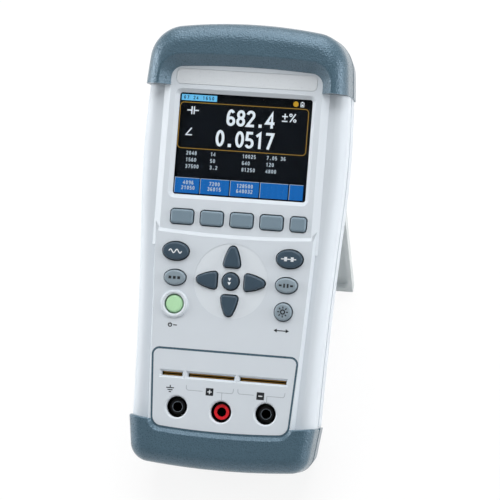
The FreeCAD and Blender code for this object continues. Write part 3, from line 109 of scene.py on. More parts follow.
def per_metre(size_mm: float) -> float:
    """Texture scale at which one cell of a pattern measures size_mm."""
    return 1.0 / (size_mm * MM)


def add_node(
    tree: Tree,
    kind: str,
    inputs: Mapping[str | int, Any] | None = None,
    **settings: Any,
) -> bpy.types.Node:
    """Add one shader node with its settings, constants and links.

    Args:
        tree: Node tree that gets the node.
        kind: Blender's type name of the node.
        inputs: Socket name or number to a constant, or to an output socket to link.
        **settings: Attributes of the node itself.

    Returns:
        The new node.
    """
    node = tree.nodes.new(kind)
    for key, value in settings.items():
        setattr(node, key, value)
    for key, value in (inputs or {}).items():
        if isinstance(value, Socket):
            tree.links.new(value, node.inputs[key])
        else:
            node.inputs[key].default_value = value
    return node


@dataclass(frozen=True)
class Finish:
    """A material, named for what it is made of and how its surface was made."""

    name: str
    colour: str

    def shader(self, tree: Tree) -> Socket:
        """Build the surface in a node tree and return its shader socket."""
        raise NotImplementedError

    def material(self) -> bpy.types.Material:
        """Make the material the first time that it is asked for.

        Returns:
            The material of this name.
        """
        found = bpy.data.materials.get(self.name)
        if found is not None:
            return found
        made = bpy.data.materials.new(self.name)
        made.use_nodes = True
        made.node_tree.nodes.clear()
        surface = self.shader(made.node_tree)
        add_node(made.node_tree, "ShaderNodeOutputMaterial", {"Surface": surface})
        made.diffuse_color = linear(self.colour)
        return made


class Grain(Enum):
    """Texture that a mould leaves on a surface."""

    SPARK = "fine spark-eroded grain"
    PEBBLE = "leather-like pebble"


@dataclass(frozen=True)
class Moulding(Finish):
    """Moulded plastic or rubber: a fine surface grain and a faint cloud in its tone.

    The grain breaks up highlights, and the cloud keeps large faces from looking printed. A real
    grain of about 0.1 mm is too fine to show, so it is drawn coarser.
    """

    shade: str = "#000000"
    grain_mm: float = 0.5
    grain_depth_mm: float = 0.008
    cloud_mm: float = 8.0
    roughness: Span = (0.45, 0.55)
    specular: float = 0.4
    sheen: float = 0.0
    coat: float = 0.0
    grain: Grain = Grain.SPARK
    relief: float = 0.6
    gloss_tint: str = "#ffffff"

    def tone(self, tree: Tree, place: Socket) -> Socket:
        """Mix the two tones by a soft noise.

        Args:
            tree: Node tree of the material.
            place: Object coordinates.

        Returns:
            Colour socket.
        """
        cloud = add_node(tree, "ShaderNodeTexNoise", {
            "Vector": place, "Scale": per_metre(self.cloud_mm), "Detail": 3.0, "Roughness": 0.6})
        return add_node(tree, "ShaderNodeMix", {
            "Factor": cloud.outputs["Fac"], 6: linear(self.colour), 7: linear(self.shade)},
            data_type="RGBA").outputs[2]

    def facing(self, tree: Tree, place: Socket) -> Socket:
        """Normal that the grain stands on: the mesh's own."""
        return add_node(tree, "ShaderNodeNewGeometry").outputs["Normal"]

    def height(self, tree: Tree, place: Socket) -> Socket:
        """Height of the grain: rounded cells for a pebble, and a fine noise otherwise.

        Args:
            tree: Node tree of the material.
            place: Object coordinates.

        Returns:
            Height socket.
        """
        if self.grain is Grain.PEBBLE:
            return add_node(tree, "ShaderNodeTexVoronoi", {
                "Vector": place, "Scale": per_metre(self.grain_mm), "Smoothness": 0.6},
                feature="SMOOTH_F1").outputs["Distance"]
        return add_node(tree, "ShaderNodeTexNoise", {
            "Vector": place, "Scale": per_metre(self.grain_mm), "Detail": 2.0,
            "Roughness": 0.5}).outputs["Fac"]

    def shader(self, tree: Tree) -> Socket:
        """Colour the surface, emboss the grain with a bump and let the gloss follow it.

        Args:
            tree: Node tree of the material.

        Returns:
            Shader socket.
        """
        place = add_node(tree, "ShaderNodeTexCoord").outputs["Object"]
        height = self.height(tree, place)
        gloss = add_node(tree, "ShaderNodeMapRange", {
            "Value": height, "From Min": 0.2, "From Max": 0.8,
            "To Min": self.roughness[0], "To Max": self.roughness[1]})
        bump = add_node(tree, "ShaderNodeBump", {
            "Height": height, "Strength": self.relief, "Distance": self.grain_depth_mm * MM,
            "Normal": self.facing(tree, place)})
        return add_node(tree, "ShaderNodeBsdfPrincipled", {
            "Base Color": self.tone(tree, place), "Roughness": gloss.outputs["Result"],
            "Normal": bump.outputs["Normal"], "Specular IOR Level": self.specular,
            "Specular Tint": linear(self.gloss_tint), "Sheen Weight": self.sheen,
            "Coat Weight": self.coat}).outputs["BSDF"]


@dataclass(frozen=True)
class PatchedMoulding(Moulding):
    """Moulding of a long case, with flanks that shade evenly and one round patch.

    Inside the patch the colour is a paler tone.
    """

    patch_colour: str = "#ffffff"
    patch_centre: Vector = (0.0, 0.0, 0.0)
    patch_radius_mm: float = 15.8
    length_axis: Vector = (0.0, 1.0, 0.0)
    flank_mm: float = 33.0
    end_tilt: float = 0.6

    def tone(self, tree: Tree, place: Socket) -> Socket:
        """Lay the paler tone where a point is nearer to the patch's centre than its radius.

        Args:
            tree: Node tree of the material.
            place: Object coordinates.

        Returns:
            Colour socket.
        """
        span = add_node(tree, "ShaderNodeVectorMath", {0: place, 1: self.patch_centre},
                        operation="DISTANCE")
        inside = add_node(tree, "ShaderNodeMath", {
            0: span.outputs["Value"], 1: self.patch_radius_mm * MM}, operation="LESS_THAN")
        return add_node(tree, "ShaderNodeMix", {
            "Factor": inside.outputs["Value"], 6: super().tone(tree, place),
            7: linear(self.patch_colour)}, data_type="RGBA").outputs[2]

    def facing(self, tree: Tree, place: Socket) -> Socket:
        """Keep the flanks' normals square to the case's length.

        Further from the middle than flank_mm, the normal loses its share along the length,
        unless it leans by more than end_tilt and so belongs to an end face.

        Args:
            tree: Node tree of the material.
            place: Object coordinates.

        Returns:
            Normal socket.
        """
        normal = super().facing(tree, place)
        lean = add_node(tree, "ShaderNodeVectorMath", {0: normal, 1: self.length_axis},
                        operation="DOT_PRODUCT")
        side = add_node(tree, "ShaderNodeSeparateXYZ", {"Vector": place})
        reach = add_node(tree, "ShaderNodeMath", {0: side.outputs["X"]}, operation="ABSOLUTE")
        flank = add_node(tree, "ShaderNodeMath", {
            0: reach.outputs["Value"], 1: self.flank_mm * MM}, operation="GREATER_THAN")
        tilt = add_node(tree, "ShaderNodeMath", {0: lean.outputs["Value"]}, operation="ABSOLUTE")
        level = add_node(tree, "ShaderNodeMath", {
            0: tilt.outputs["Value"], 1: self.end_tilt}, operation="LESS_THAN")
        share = add_node(tree, "ShaderNodeMath", {
            0: flank.outputs["Value"], 1: level.outputs["Value"]}, operation="MULTIPLY")
        part = add_node(tree, "ShaderNodeMath", {
            0: share.outputs["Value"], 1: lean.outputs["Value"]}, operation="MULTIPLY")
        along = add_node(tree, "ShaderNodeVectorMath", {
            0: self.length_axis, "Scale": part.outputs["Value"]}, operation="SCALE")
        square = add_node(tree, "ShaderNodeVectorMath", {
            0: normal, 1: along.outputs["Vector"]}, operation="SUBTRACT")
        return add_node(tree, "ShaderNodeVectorMath", {
            0: square.outputs["Vector"]}, operation="NORMALIZE").outputs["Vector"]


@dataclass(frozen=True)
class Metal(Finish):
    """Bare or plated metal: drawing lines along one axis, coarser than real so that they show."""

    shade: str = "#000000"
    line_mm: float = 0.3
    roughness: Span = (0.2, 0.35)
    line_squeeze: Vector = (1.0, 1.0, 0.05)
    line_depth_mm: float = 0.01
    relief: float = 0.3

    def shader(self, tree: Tree) -> Socket:
        """Stretch a noise into lines that vary tone, gloss and relief.

        Args:
            tree: Node tree of the material.

        Returns:
            Shader socket.
        """
        place = add_node(tree, "ShaderNodeTexCoord").outputs["Object"]
        drawn = add_node(tree, "ShaderNodeMapping", {"Vector": place, "Scale": self.line_squeeze})
        lines = add_node(tree, "ShaderNodeTexNoise", {
            "Vector": drawn.outputs["Vector"], "Scale": per_metre(self.line_mm),
            "Detail": 2.0}).outputs["Fac"]
        tone = add_node(tree, "ShaderNodeMix", {
            "Factor": lines, 6: linear(self.colour), 7: linear(self.shade)}, data_type="RGBA")
        gloss = add_node(tree, "ShaderNodeMapRange", {
            "Value": lines, "To Min": self.roughness[0], "To Max": self.roughness[1]})
        bump = add_node(tree, "ShaderNodeBump", {
            "Height": lines, "Strength": self.relief, "Distance": self.line_depth_mm * MM})
        return add_node(tree, "ShaderNodeBsdfPrincipled", {
            "Base Color": tone.outputs[2], "Metallic": 1.0, "Roughness": gloss.outputs["Result"],
            "Normal": bump.outputs["Normal"]}).outputs["BSDF"]


@dataclass(frozen=True)
class Laminate(Finish):
    """Circuit board: solder mask over a glass weave, drawn coarser than real so that it shows."""

    shade: str = "#000000"
    thread_mm: float = 3.77

    def shader(self, tree: Tree) -> Socket:
        """Cross two bands of waves into a weave under a glossy coat.

        Args:
            tree: Node tree of the material.

        Returns:
            Shader socket.
        """
        place = add_node(tree, "ShaderNodeTexCoord").outputs["Object"]
        bands = [add_node(tree, "ShaderNodeTexWave", {
            "Vector": place, "Scale": per_metre(self.thread_mm) / WAVE_BANDS, "Distortion": 0.4},
            bands_direction=axis).outputs["Fac"] for axis in ("X", "Y")]
        weave = add_node(tree, "ShaderNodeMath", dict(enumerate(bands)), operation="MULTIPLY")
        tone = add_node(tree, "ShaderNodeMix", {
            "Factor": weave.outputs["Value"], 6: linear(self.colour), 7: linear(self.shade)},
            data_type="RGBA")
        return add_node(tree, "ShaderNodeBsdfPrincipled", {
            "Base Color": tone.outputs[2], "Roughness": 0.35, "Coat Weight": 0.4}).outputs["BSDF"]


@dataclass(frozen=True)
class ClearSheet(Finish):
    """Acrylic window with an anti-reflection layer: it darkens little and mirrors little."""

    smear_mm: float = 9.0
    roughness: Span = (0.0, 0.06)
    ior: float = 1.1

    def shader(self, tree: Tree) -> Socket:
        """Clear transmission whose gloss varies a little, as handled acrylic does.

        Args:
            tree: Node tree of the material.

        Returns:
            Shader socket.
        """
        place = add_node(tree, "ShaderNodeTexCoord").outputs["Object"]
        smear = add_node(tree, "ShaderNodeTexNoise", {
            "Vector": place, "Scale": per_metre(self.smear_mm), "Detail": 2.0})
        gloss = add_node(tree, "ShaderNodeMapRange", {
            "Value": smear.outputs["Fac"],
            "To Min": self.roughness[0], "To Max": self.roughness[1]})
        return add_node(tree, "ShaderNodeBsdfPrincipled", {
            "Base Color": linear(self.colour), "Transmission Weight": 1.0, "IOR": self.ior,
            "Roughness": gloss.outputs["Result"]}).outputs["BSDF"]


@dataclass(frozen=True)
class Glow(Finish):
    """Lit pixels: a plain colour with faint bands, drawn coarser than pixels so that they show."""

    strength: float = 1.0
    band_mm: float = 2.5133
    least_level: float = 0.94

    def shader(self, tree: Tree) -> Socket:
        """Emit the colour, dimmed a little between the bands.

        Args:
            tree: Node tree of the material.

        Returns:
            Shader socket.
        """
        unlit = linear("#000000")
        place = add_node(tree, "ShaderNodeTexCoord").outputs["Object"]
        bands = add_node(tree, "ShaderNodeTexWave", {
            "Vector": place, "Scale": per_metre(self.band_mm) / WAVE_BANDS}, bands_direction="X")
        level = add_node(tree, "ShaderNodeMapRange", {
            "Value": bands.outputs["Fac"], "To Min": self.least_level, "To Max": 1.0})
        tone = add_node(tree, "ShaderNodeMix", {
            "Factor": level.outputs["Result"], 6: unlit, 7: linear(self.colour)},
            data_type="RGBA")
        return add_node(tree, "ShaderNodeBsdfPrincipled", {
            "Base Color": unlit, "Roughness": 0.4, "Specular IOR Level": 0.1,
            "Emission Color": tone.outputs[2], "Emission Strength": self.strength}).outputs["BSDF"]


class Finishes:
    """Every finish of the tester, by the piece that wears it."""

    # Moulded ABS, spark-eroded: cool pale grey, soft broad highlights.
    CASE = Moulding("moulded_abs_pale_grey", "#d2d9e0", "#cbd3da", grain_mm=0.35,
                    grain_depth_mm=0.012, cloud_mm=45.0, roughness=(0.42, 0.55))
    # The same ABS on the front half, with a paler round patch about the four-way pad.
    FRONT_CASE = PatchedMoulding("moulded_abs_pale_grey_paler_patch", CASE.colour, CASE.shade,
                                 grain_mm=CASE.grain_mm, grain_depth_mm=CASE.grain_depth_mm,
                                 cloud_mm=CASE.cloud_mm, roughness=CASE.roughness,
                                 patch_colour="#d9e0e6")
    # The same ABS on the stand, a little darker and duller.
    STAND = replace(CASE, name="moulded_abs_grey", colour="#cbd0d1", shade="#c4cacb",
                    grain_mm=0.4, grain_depth_mm=0.014, roughness=(0.45, 0.58))
    # Polyester strip, smooth and faintly glossy.
    LABEL = Moulding("polyester_label_film", "#d8dde1", "#d2d8dd", grain_mm=0.8,
                     grain_depth_mm=0.004, cloud_mm=20.0, roughness=(0.25, 0.34), specular=0.45)
    # Overmoulded thermoplastic rubber: a leather-like pebble that sparkles where light grazes it.
    BUMPER = Moulding("overmoulded_rubber_slate", "#435d6b", "#3e5664", grain_mm=0.66,
                      grain_depth_mm=0.2, cloud_mm=12.0, roughness=(0.24, 0.38), specular=0.85,
                      sheen=0.2, grain=Grain.PEBBLE, relief=0.75, gloss_tint="#cde6fb")
    # Silicone keys: smooth, with a satin skin.
    SOFT_KEY = Moulding("silicone_blue_grey", "#788b98", "#718491", roughness=(0.38, 0.48))
    GREY_KEY = replace(SOFT_KEY, name="silicone_mid_grey", colour="#8998a2", shade="#82919b")
    DARK_KEY = replace(SOFT_KEY, name="silicone_dark_slate", colour="#3a4d5c", shade="#344654")
    # Translucent silicone of the power key: a milky green with a softer shine.
    POWER_KEY = Moulding("silicone_pale_green", "#b9e6b8", "#b0deb0", grain_depth_mm=0.006,
                         cloud_mm=6.0, roughness=(0.4, 0.5), specular=0.35)
    # Closed-cell foam and mat rubber, dull black. On the keypad mat, seen only in the gaps round
    # the keys, this near black is painted shade.
    FOAM_AND_GAP_SHADE = Moulding("closed_cell_foam_black_and_painted_gap_shade", "#0d0d0e", "#161617", grain_mm=0.8,
                    grain_depth_mm=0.05, cloud_mm=10.0, roughness=(0.8, 0.95), specular=0.2)
    # Moulded nylon of the jacks, with a moulding gloss.
    BLACK = Moulding("moulded_nylon_black", "#090a0c", "#0c0e10", grain_mm=0.6,
                     grain_depth_mm=0.006, roughness=(0.24, 0.34), specular=0.22)
    RED = replace(BLACK, name="moulded_nylon_red", colour="#f0222f", shade="#e61e2a",
                  roughness=(0.28, 0.38), specular=0.4)
    # Black nylon painted pale grey: a painted highlight on the rims of the black jacks, a pale ring
    # round a dark bore.
    RIM_HIGHLIGHT = replace(BLACK, name="moulded_nylon_black_painted_rim_highlight", colour="#78838c",
                  shade="#6f7a83", grain_depth_mm=0.004, roughness=(0.2, 0.3), specular=0.5)
    # Moulded polycarbonate of the display's frame: dull black.
    FRAME = Moulding("moulded_polycarbonate_black", "#1a1b1d", "#222325", grain_depth_mm=0.01,
                     cloud_mm=20.0, roughness=(0.45, 0.6))
    # Moulding compound of chips and relays: near black, with a fine dry grain.
    CHIP = Moulding("epoxy_moulding_compound", "#17181a", "#202124", grain_mm=0.25,
                    cloud_mm=6.0, roughness=(0.5, 0.65), specular=0.35)
    # Polyimide film of the ribbon: amber and glossy.
    RIBBON = Moulding("polyimide_film_amber", "#a8731d", "#97641a", grain_mm=0.8,
                      grain_depth_mm=0.004, cloud_mm=9.0, roughness=(0.2, 0.32), specular=0.5)
    # Shrunk plastic jacket of a cell: dark, with a thin clear gloss.
    CELL = Moulding("cell_shrink_jacket", "#3a4450", "#343d49", grain_mm=0.9,
                    grain_depth_mm=0.006, cloud_mm=16.0, roughness=(0.25, 0.35), specular=0.5,
                    coat=0.2)
    # Unlit face of the display: near black with a cool cast.
    PANEL = Moulding("display_panel_dark", "#10161d", "#0d131a", grain_depth_mm=0.003,
                     cloud_mm=20.0, roughness=(0.35, 0.45), specular=0.1)
    # Screen-printed inks: flat and dry.
    INK = Moulding("printed_ink_near_black", "#1c2024", "#24282c", grain_mm=0.3,
                   grain_depth_mm=0.003, cloud_mm=5.0, roughness=(0.5, 0.6), specular=0.3)
    PALE_INK = replace(INK, name="printed_ink_white", colour="#e6eaee", shade="#dde2e7")
    LINE_INK = replace(INK, name="printed_ink_pale_line", colour="#9aa3ab", shade="#929ba3")
    # Hard-coated acrylic: nearly invisible over the picture.
    WINDOW = ClearSheet("hard_coated_acrylic", "#f4f7fa")
    # Glass-fibre board under green solder mask: dark and glossy.
    BOARD = Laminate("glass_epoxy_green_mask", "#0f4a2a", "#0b3a21")
    # Zinc plate and tin plate: cool greys with a soft sheen along their drawing lines.
    STEEL = Metal("zinc_plated_steel", "#a9adb0", "#92969a", line_mm=0.25, roughness=(0.25, 0.4))
    TINPLATE = Metal("tinned_sheet", "#c3c6c8", "#aeb2b5", line_mm=0.4, roughness=(0.22, 0.35))
    # Nickel plate painted dark as the shade down the bores, so the jacks read as black holes.
    NICKEL_BORE_SHADE = Metal("nickel_plate_painted_bore_shade", "#2e2d2d", "#232222", roughness=(0.4, 0.55))
    # Gold-flashed spring brass: a warm glint in the slots.
    BRASS = Metal("gold_flashed_spring_brass", "#c99b4c", "#a87d38", roughness=(0.22, 0.38))
    # Pixels lit through their colour filters: flat colours that need no lamp.
    PIXEL_WHITE = Glow("lit_pixels_white", "#e9f1f6")
    PIXEL_GREY = Glow("lit_pixels_grey", "#b9c6cf")
    PIXEL_SKY = Glow("lit_pixels_sky_blue", "#6ec3f0")
    PIXEL_BLUE = Glow("lit_pixels_blue", "#1a67b4")
    PIXEL_GOLD = Glow("lit_pixels_gold", "#a8853a")
    PIXEL_AMBER = Glow("lit_pixels_amber", "#c79a2f")


def turned(axis: Axis, angle: float) -> Array:
    """Rotation matrix: ones on the axis, cosines on the other two, and sines across them.

    Args:
        axis: Axis that stays.
        angle: Right-handed turn in radians.

    Returns:
        Three by three matrix.
    """
    first, second = (axis + 1) % 3, (axis + 2) % 3
    matrix = np.eye(3)
    matrix[first, first] = matrix[second, second] = math.cos(angle)
    matrix[second, first] = math.sin(angle)
    matrix[first, second] = -math.sin(angle)
    return matrix


@dataclass(frozen=True)
class CaseFrame:
    """Place of the reclined case: x across, y to its display end, z out of its face, in mm."""

    tilt: float
    origin: Vector

    @classmethod
    def from_record(cls, record: Mapping[str, Any]) -> CaseFrame:
        """Read the recline from the middle jack's axis and the place from the middle slot.

        Args:
            record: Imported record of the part.

        Returns:
            The case's frame in the row frame.
        """
        mounts = {mount["name"]: mount for mount in record["mounts"]}
        axis = mounts["high_jack"]["axis"]
        tilt = math.atan2(-axis[Axis.Y], axis[Axis.Z])
        slot = turned(Axis.X, tilt) @ np.array(HIGH_SLOT_MM) * MM
        return cls(tilt, tuple(np.array(mounts["high_slot"]["pos_m"]) - slot))

    def turn(self) -> Array:
        """Rotation matrix of the recline."""
        return turned(Axis.X, self.tilt)

    def place(self, points_mm: Array) -> Array:
        """Points in case millimetres as points in row metres."""
        return points_mm * MM @ self.turn().T + np.array(self.origin)


def layer_on(height: float, sink: float) -> Layer:
    """Layer of print or light on a surface, sunk a little into it."""
    return height - sink, height + LAYER_MM


def swept_bar(path: Array, width: float, layer: Layer, closed: bool = False) -> Surface:
    """Flat bar of square section carried along a plan path, mitred at its corners.

    Each path point gives four corners: the point plus and minus half the width along the mean
    normal of its two runs, stretched by one over the cosine of the half turn, at two heights.

    Args:
        path: Points in plan, one row each, in mm.
        width: Bar width in mm.
        layer: Heights of its underside and top in mm.
        closed: Whether the last point runs on to the first.

    Returns:
        Vertices in mm and blocks of faces.
    """
    runs = np.diff(np.vstack([path, path[:1]]) if closed else path, axis=0)
    runs = runs / np.linalg.norm(runs, axis=1, keepdims=True)
    normals = np.stack([-runs[:, 1], runs[:, 0]], axis=1)
    if closed:
        before, after = np.roll(normals, 1, axis=0), normals
    else:
        before = np.vstack([normals[:1], normals])
        after = np.vstack([normals, normals[-1:]])
    mean = before + after
    mean = mean / np.linalg.norm(mean, axis=1, keepdims=True)
    stretch = 1.0 / np.clip((mean * after).sum(axis=1), MITRE_LIMIT, 1.0)
    offset = mean * (stretch * width / 2.0)[:, None]
    count = len(path)
    corners = np.empty((count, 4, 3))
    corners[:, (0, 3), :2] = (path + offset)[:, None]
    corners[:, (1, 2), :2] = (path - offset)[:, None]
    corners[:, :2, 2], corners[:, 2:, 2] = layer
    start = np.arange(count if closed else count - 1)[:, None] * 4
    end = (start + 4) % (count * 4)
    side = np.arange(4)
    turn = (side + 1) % 4
    quads = np.stack([start + side, end + side, end + turn, start + turn], axis=2)
    faces = [quads.reshape(-1, 4)]
    if not closed:
        faces.append(np.array([side, count * 4 - 1 - side]))
    return corners.reshape(-1, 3), faces


def star_plate(outline: Array, layer: Layer) -> Surface:
    """Closed flat plate over an outline that its middle sees all round.

    The surface runs from the middle of the underside out to the outline, up it, and back to
    the middle of the top.

    Args:
        outline: Points in plan, anticlockwise, in mm.
        layer: Heights of its underside and top in mm.

    Returns:
        Vertices in mm and blocks of faces.
    """
    count = len(outline)
    rims = [np.column_stack([outline, np.full(count, height)]) for height in layer]
    middles = [[*outline.mean(axis=0), height] for height in layer]
    i = np.arange(count)
    j = (i + 1) % count
    sides = np.stack([i, j, j + count, i + count], axis=1)
    under = np.stack([j, i, np.full(count, 2 * count)], axis=1)
    top = np.stack([i + count, j + count, np.full(count, 2 * count + 1)], axis=1)
    return np.vstack([*rims, middles]), [sides, under, top]


def joined(parts: Iterable[Surface]) -> Surface:
    """Several surfaces as one: the corners of each count on from the vertices before it.

    Args:
        parts: Surfaces to join.

    Returns:
        Vertices in mm and blocks of faces.
    """
    parts = list(parts)
    starts = np.cumsum([0] + [len(points) for points, _ in parts])
    faces = [block + start for (_, blocks), start in zip(parts, starts) for block in blocks]
    return np.vstack([points for points, _ in parts]), faces


def box_outline(left: float, right: float, bottom: float, top: float, corner: float = 0.0) -> Array:
    """Rectangle in plan, with a quarter circle at each corner if a radius is given.

    Args:
        left: Left side in mm.
        right: Right side in mm.
        bottom: Bottom side in mm.
        top: Top side in mm.
        corner: Corner radius in mm.

    Returns:
        Points, anticlockwise, in mm.
    """
    if corner <= 0.0:
        return np.array([[left, bottom], [right, bottom], [right, top], [left, top]])
    quarters = np.array([2.0, 3.0, 0.0, 1.0])[:, None] * math.pi / 2.0
    angle = quarters + np.linspace(0.0, math.pi / 2.0, QUARTER_POINTS)
    inner = box_outline(left + corner, right - corner, bottom + corner, top - corner)
    arcs = corner * np.stack([np.cos(angle), np.sin(angle)], axis=2)
    return (inner[:, None] + arcs).reshape(-1, 2)


def circle(x: float, y: float, radius: float, count: int = 48) -> Array:
    """Circle in plan as an anticlockwise loop of points."""
    angle = np.linspace(0.0, math.tau, count, endpoint=False)
    return np.stack([x + radius * np.cos(angle), y + radius * np.sin(angle)], axis=1)


def arc_path(x: float, y: float, half_width: float, half_height: float,
             start: float, end: float) -> Array:
    """Stretch of an ellipse in plan between two angles in degrees."""
    angle = np.radians(np.linspace(start, end, ARC_POINTS))
    return np.stack([x + half_width * np.cos(angle), y + half_height * np.sin(angle)], axis=1)


def sine_path(step: float, swing: float) -> Array:
    """Two periods of a sine about the origin: step per radian across, swing up and down."""
    turn = np.linspace(-math.tau, math.tau, WAVE_POINTS)
    return np.column_stack([step * turn, swing * np.sin(turn)])


# Strokes of each digit, as shares of its height.
DIGIT_STROKES: dict[str, list[Array]] = {
    "0": [arc_path(0.27, 0.5, 0.19, 0.42, 0.0, 360.0)],
    "1": [np.array([[0.08, 0.74], [0.3, 0.92], [0.3, 0.0]])],
    "2": [np.vstack([arc_path(0.27, 0.71, 0.19, 0.21, 170.0, -35.0),
                     [[0.08, 0.08], [0.5, 0.08]]])],
    "3": [np.vstack([arc_path(0.25, 0.71, 0.19, 0.21, 160.0, -80.0),
                     arc_path(0.25, 0.29, 0.2, 0.22, 75.0, -160.0)])],
    "4": [np.array([[0.37, 0.0], [0.37, 0.9], [0.04, 0.3], [0.53, 0.3]])],
    "5": [np.vstack([[[0.46, 0.92], [0.13, 0.92], [0.1, 0.52]],
                     arc_path(0.26, 0.3, 0.2, 0.23, 110.0, -155.0)])],
    "6": [np.vstack([arc_path(0.27, 0.5, 0.19, 0.42, 45.0, 180.0),
                     arc_path(0.27, 0.29, 0.19, 0.21, 180.0, 520.0)])],
    "7": [np.array([[0.05, 0.92], [0.48, 0.92], [0.2, 0.0]])],
    "8": [arc_path(0.27, 0.71, 0.17, 0.2, 0.0, 360.0),
          arc_path(0.27, 0.29, 0.19, 0.21, 0.0, 360.0)],
    "9": [np.vstack([arc_path(0.27, 0.71, 0.19, 0.21, 0.0, 340.0),
                     arc_path(0.27, 0.5, 0.19, 0.42, 10.0, -135.0)])],
}


@dataclass(frozen=True)
class NumberStyle:
    """Plain digits drawn with strokes of one weight.

    Height and pitch are in mm. Weight and digit width are shares of the height, and a point's
    size is a share of the weight.
    """

    height: float
    pitch: float
    weight: float
    digit_width: float = 0.54
    point_size: float = 1.2

    def draw(self, number: PlacedNumber, layer: Layer) -> Surface:
        """Draw a number: each mark stands in the middle of its own cell.

        Args:
            number: Its digits, points and spaces, and its left end and foot.
            layer: Heights of its underside and top in mm.

        Returns:
            Vertices in mm and blocks of faces.
        """
        text, left, foot = number
        margin = (self.pitch - self.digit_width * self.height) / 2.0
        dot = self.point_size * self.weight * self.height
        parts = []
        for cell, mark in enumerate(text):
            start = left + cell * self.pitch + margin
            if mark == ".":
                edge = start + (self.digit_width * self.height - dot) / 2.0
                parts.append(star_plate(box_outline(edge, edge + dot, foot, foot + dot), layer))
            for stroke in DIGIT_STROKES.get(mark, ()):
                loop = bool(np.allclose(stroke[0], stroke[-1]))
                path = (stroke[:-1] if loop else stroke) * self.height + np.array([start, foot])
                parts.append(swept_bar(path, self.weight * self.height, layer, closed=loop))
        return joined(parts)


@dataclass(frozen=True)
class Sign:
    """Plain sign of open bars, closed rings and flat plates, in mm.

    Its points count from its own middle, or from the face's where it is drawn at no place.
    """

    bars: tuple[Points, ...] = ()
    rings: tuple[Points, ...] = ()
    plates: tuple[Points, ...] = ()
    bar_width: float = 0.4
    ring_width: float = 0.4

    def draw(self, layer: Layer, place: Span = (0.0, 0.0)) -> Surface:
        """Draw the sign with its middle at a place.

        Args:
            layer: Heights of its underside and top in mm.
            place: Middle in plan in mm.

        Returns:
            Vertices in mm and blocks of faces.
        """
        middle = np.array(place)
        return joined(
            [swept_bar(middle + bar, self.bar_width, layer) for bar in self.bars]
            + [swept_bar(middle + ring, self.ring_width, layer, closed=True) for ring in self.rings]
            + [star_plate(middle + plate, layer) for plate in self.plates])


@dataclass
class Bench:
    """What every sub-assembly needs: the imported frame, the case's place and a list of pieces."""

    nodes: Mapping[str, bpy.types.Object]
    case: CaseFrame
    pieces: list[str] = field(default_factory=list)

    def dress(self, finish: Finish, *names: str) -> None:
        """Give CAD nodes a finish.

        Args:
            finish: What they are made of.
            *names: Names of the nodes.
        """
        material = finish.material()
        for name in names:
            for slot in self.nodes[name].material_slots:
                slot.material = material
            LOG.info("node %s wears %s", name, finish.name)

    def add(self, name: str, surface: Surface, finish: Finish, body: str, slot: str) -> None:
        """Make a new piece in the row frame and let it ride on a body.

        Args:
            name: Name of the piece.
            surface: Vertices in case millimetres and blocks of faces.
            finish: What it is made of.
            body: CAD body that carries it.
            slot: Record slot of the piece; it is not used.
        """
        points, blocks = surface
        faces = [face for block in blocks for face in block.tolist()]
        mesh = bpy.data.meshes.new(name)
        mesh.from_pydata(self.case.place(points).tolist(), [], faces)
        mesh.validate()
        mesh.materials.append(finish.material())
        piece = bpy.data.objects.new(name, mesh)
        bpy.context.scene.collection.objects.link(piece)
        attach(piece, body)
        self.pieces.append(name)
        LOG.info("piece %s: %d vertices on %s", name, len(points), body)


@dataclass
class Shell:
    """Case halves, bumpers, label strip and stand."""

    patch: Vector = (0.0, PAD_Y_MM, DECK_MM)

    def dress(self, bench: Bench) -> None:
        """Give the outer mouldings their finishes, with the paler patch round the pad.

        Args:
            bench: Frame, case and pieces.
        """
        centre = bench.case.place(np.array([self.patch]))[0]
        length = bench.case.turn()[:, Axis.Y]
        front = replace(Finishes.FRONT_CASE, patch_centre=tuple(centre.tolist()),
                        length_axis=tuple(length.tolist()))
        bench.dress(front, "front_case")
        bench.dress(Finishes.CASE, "rear_case", "terminal_panel", "battery_cover")
        bench.dress(Finishes.BUMPER, "top_bumper_front", "top_bumper_rear",
                    "bottom_bumper_front", "bottom_bumper_rear")
        bench.dress(Finishes.LABEL, "label_plate")
        bench.dress(Finishes.STAND, "tilt_stand")


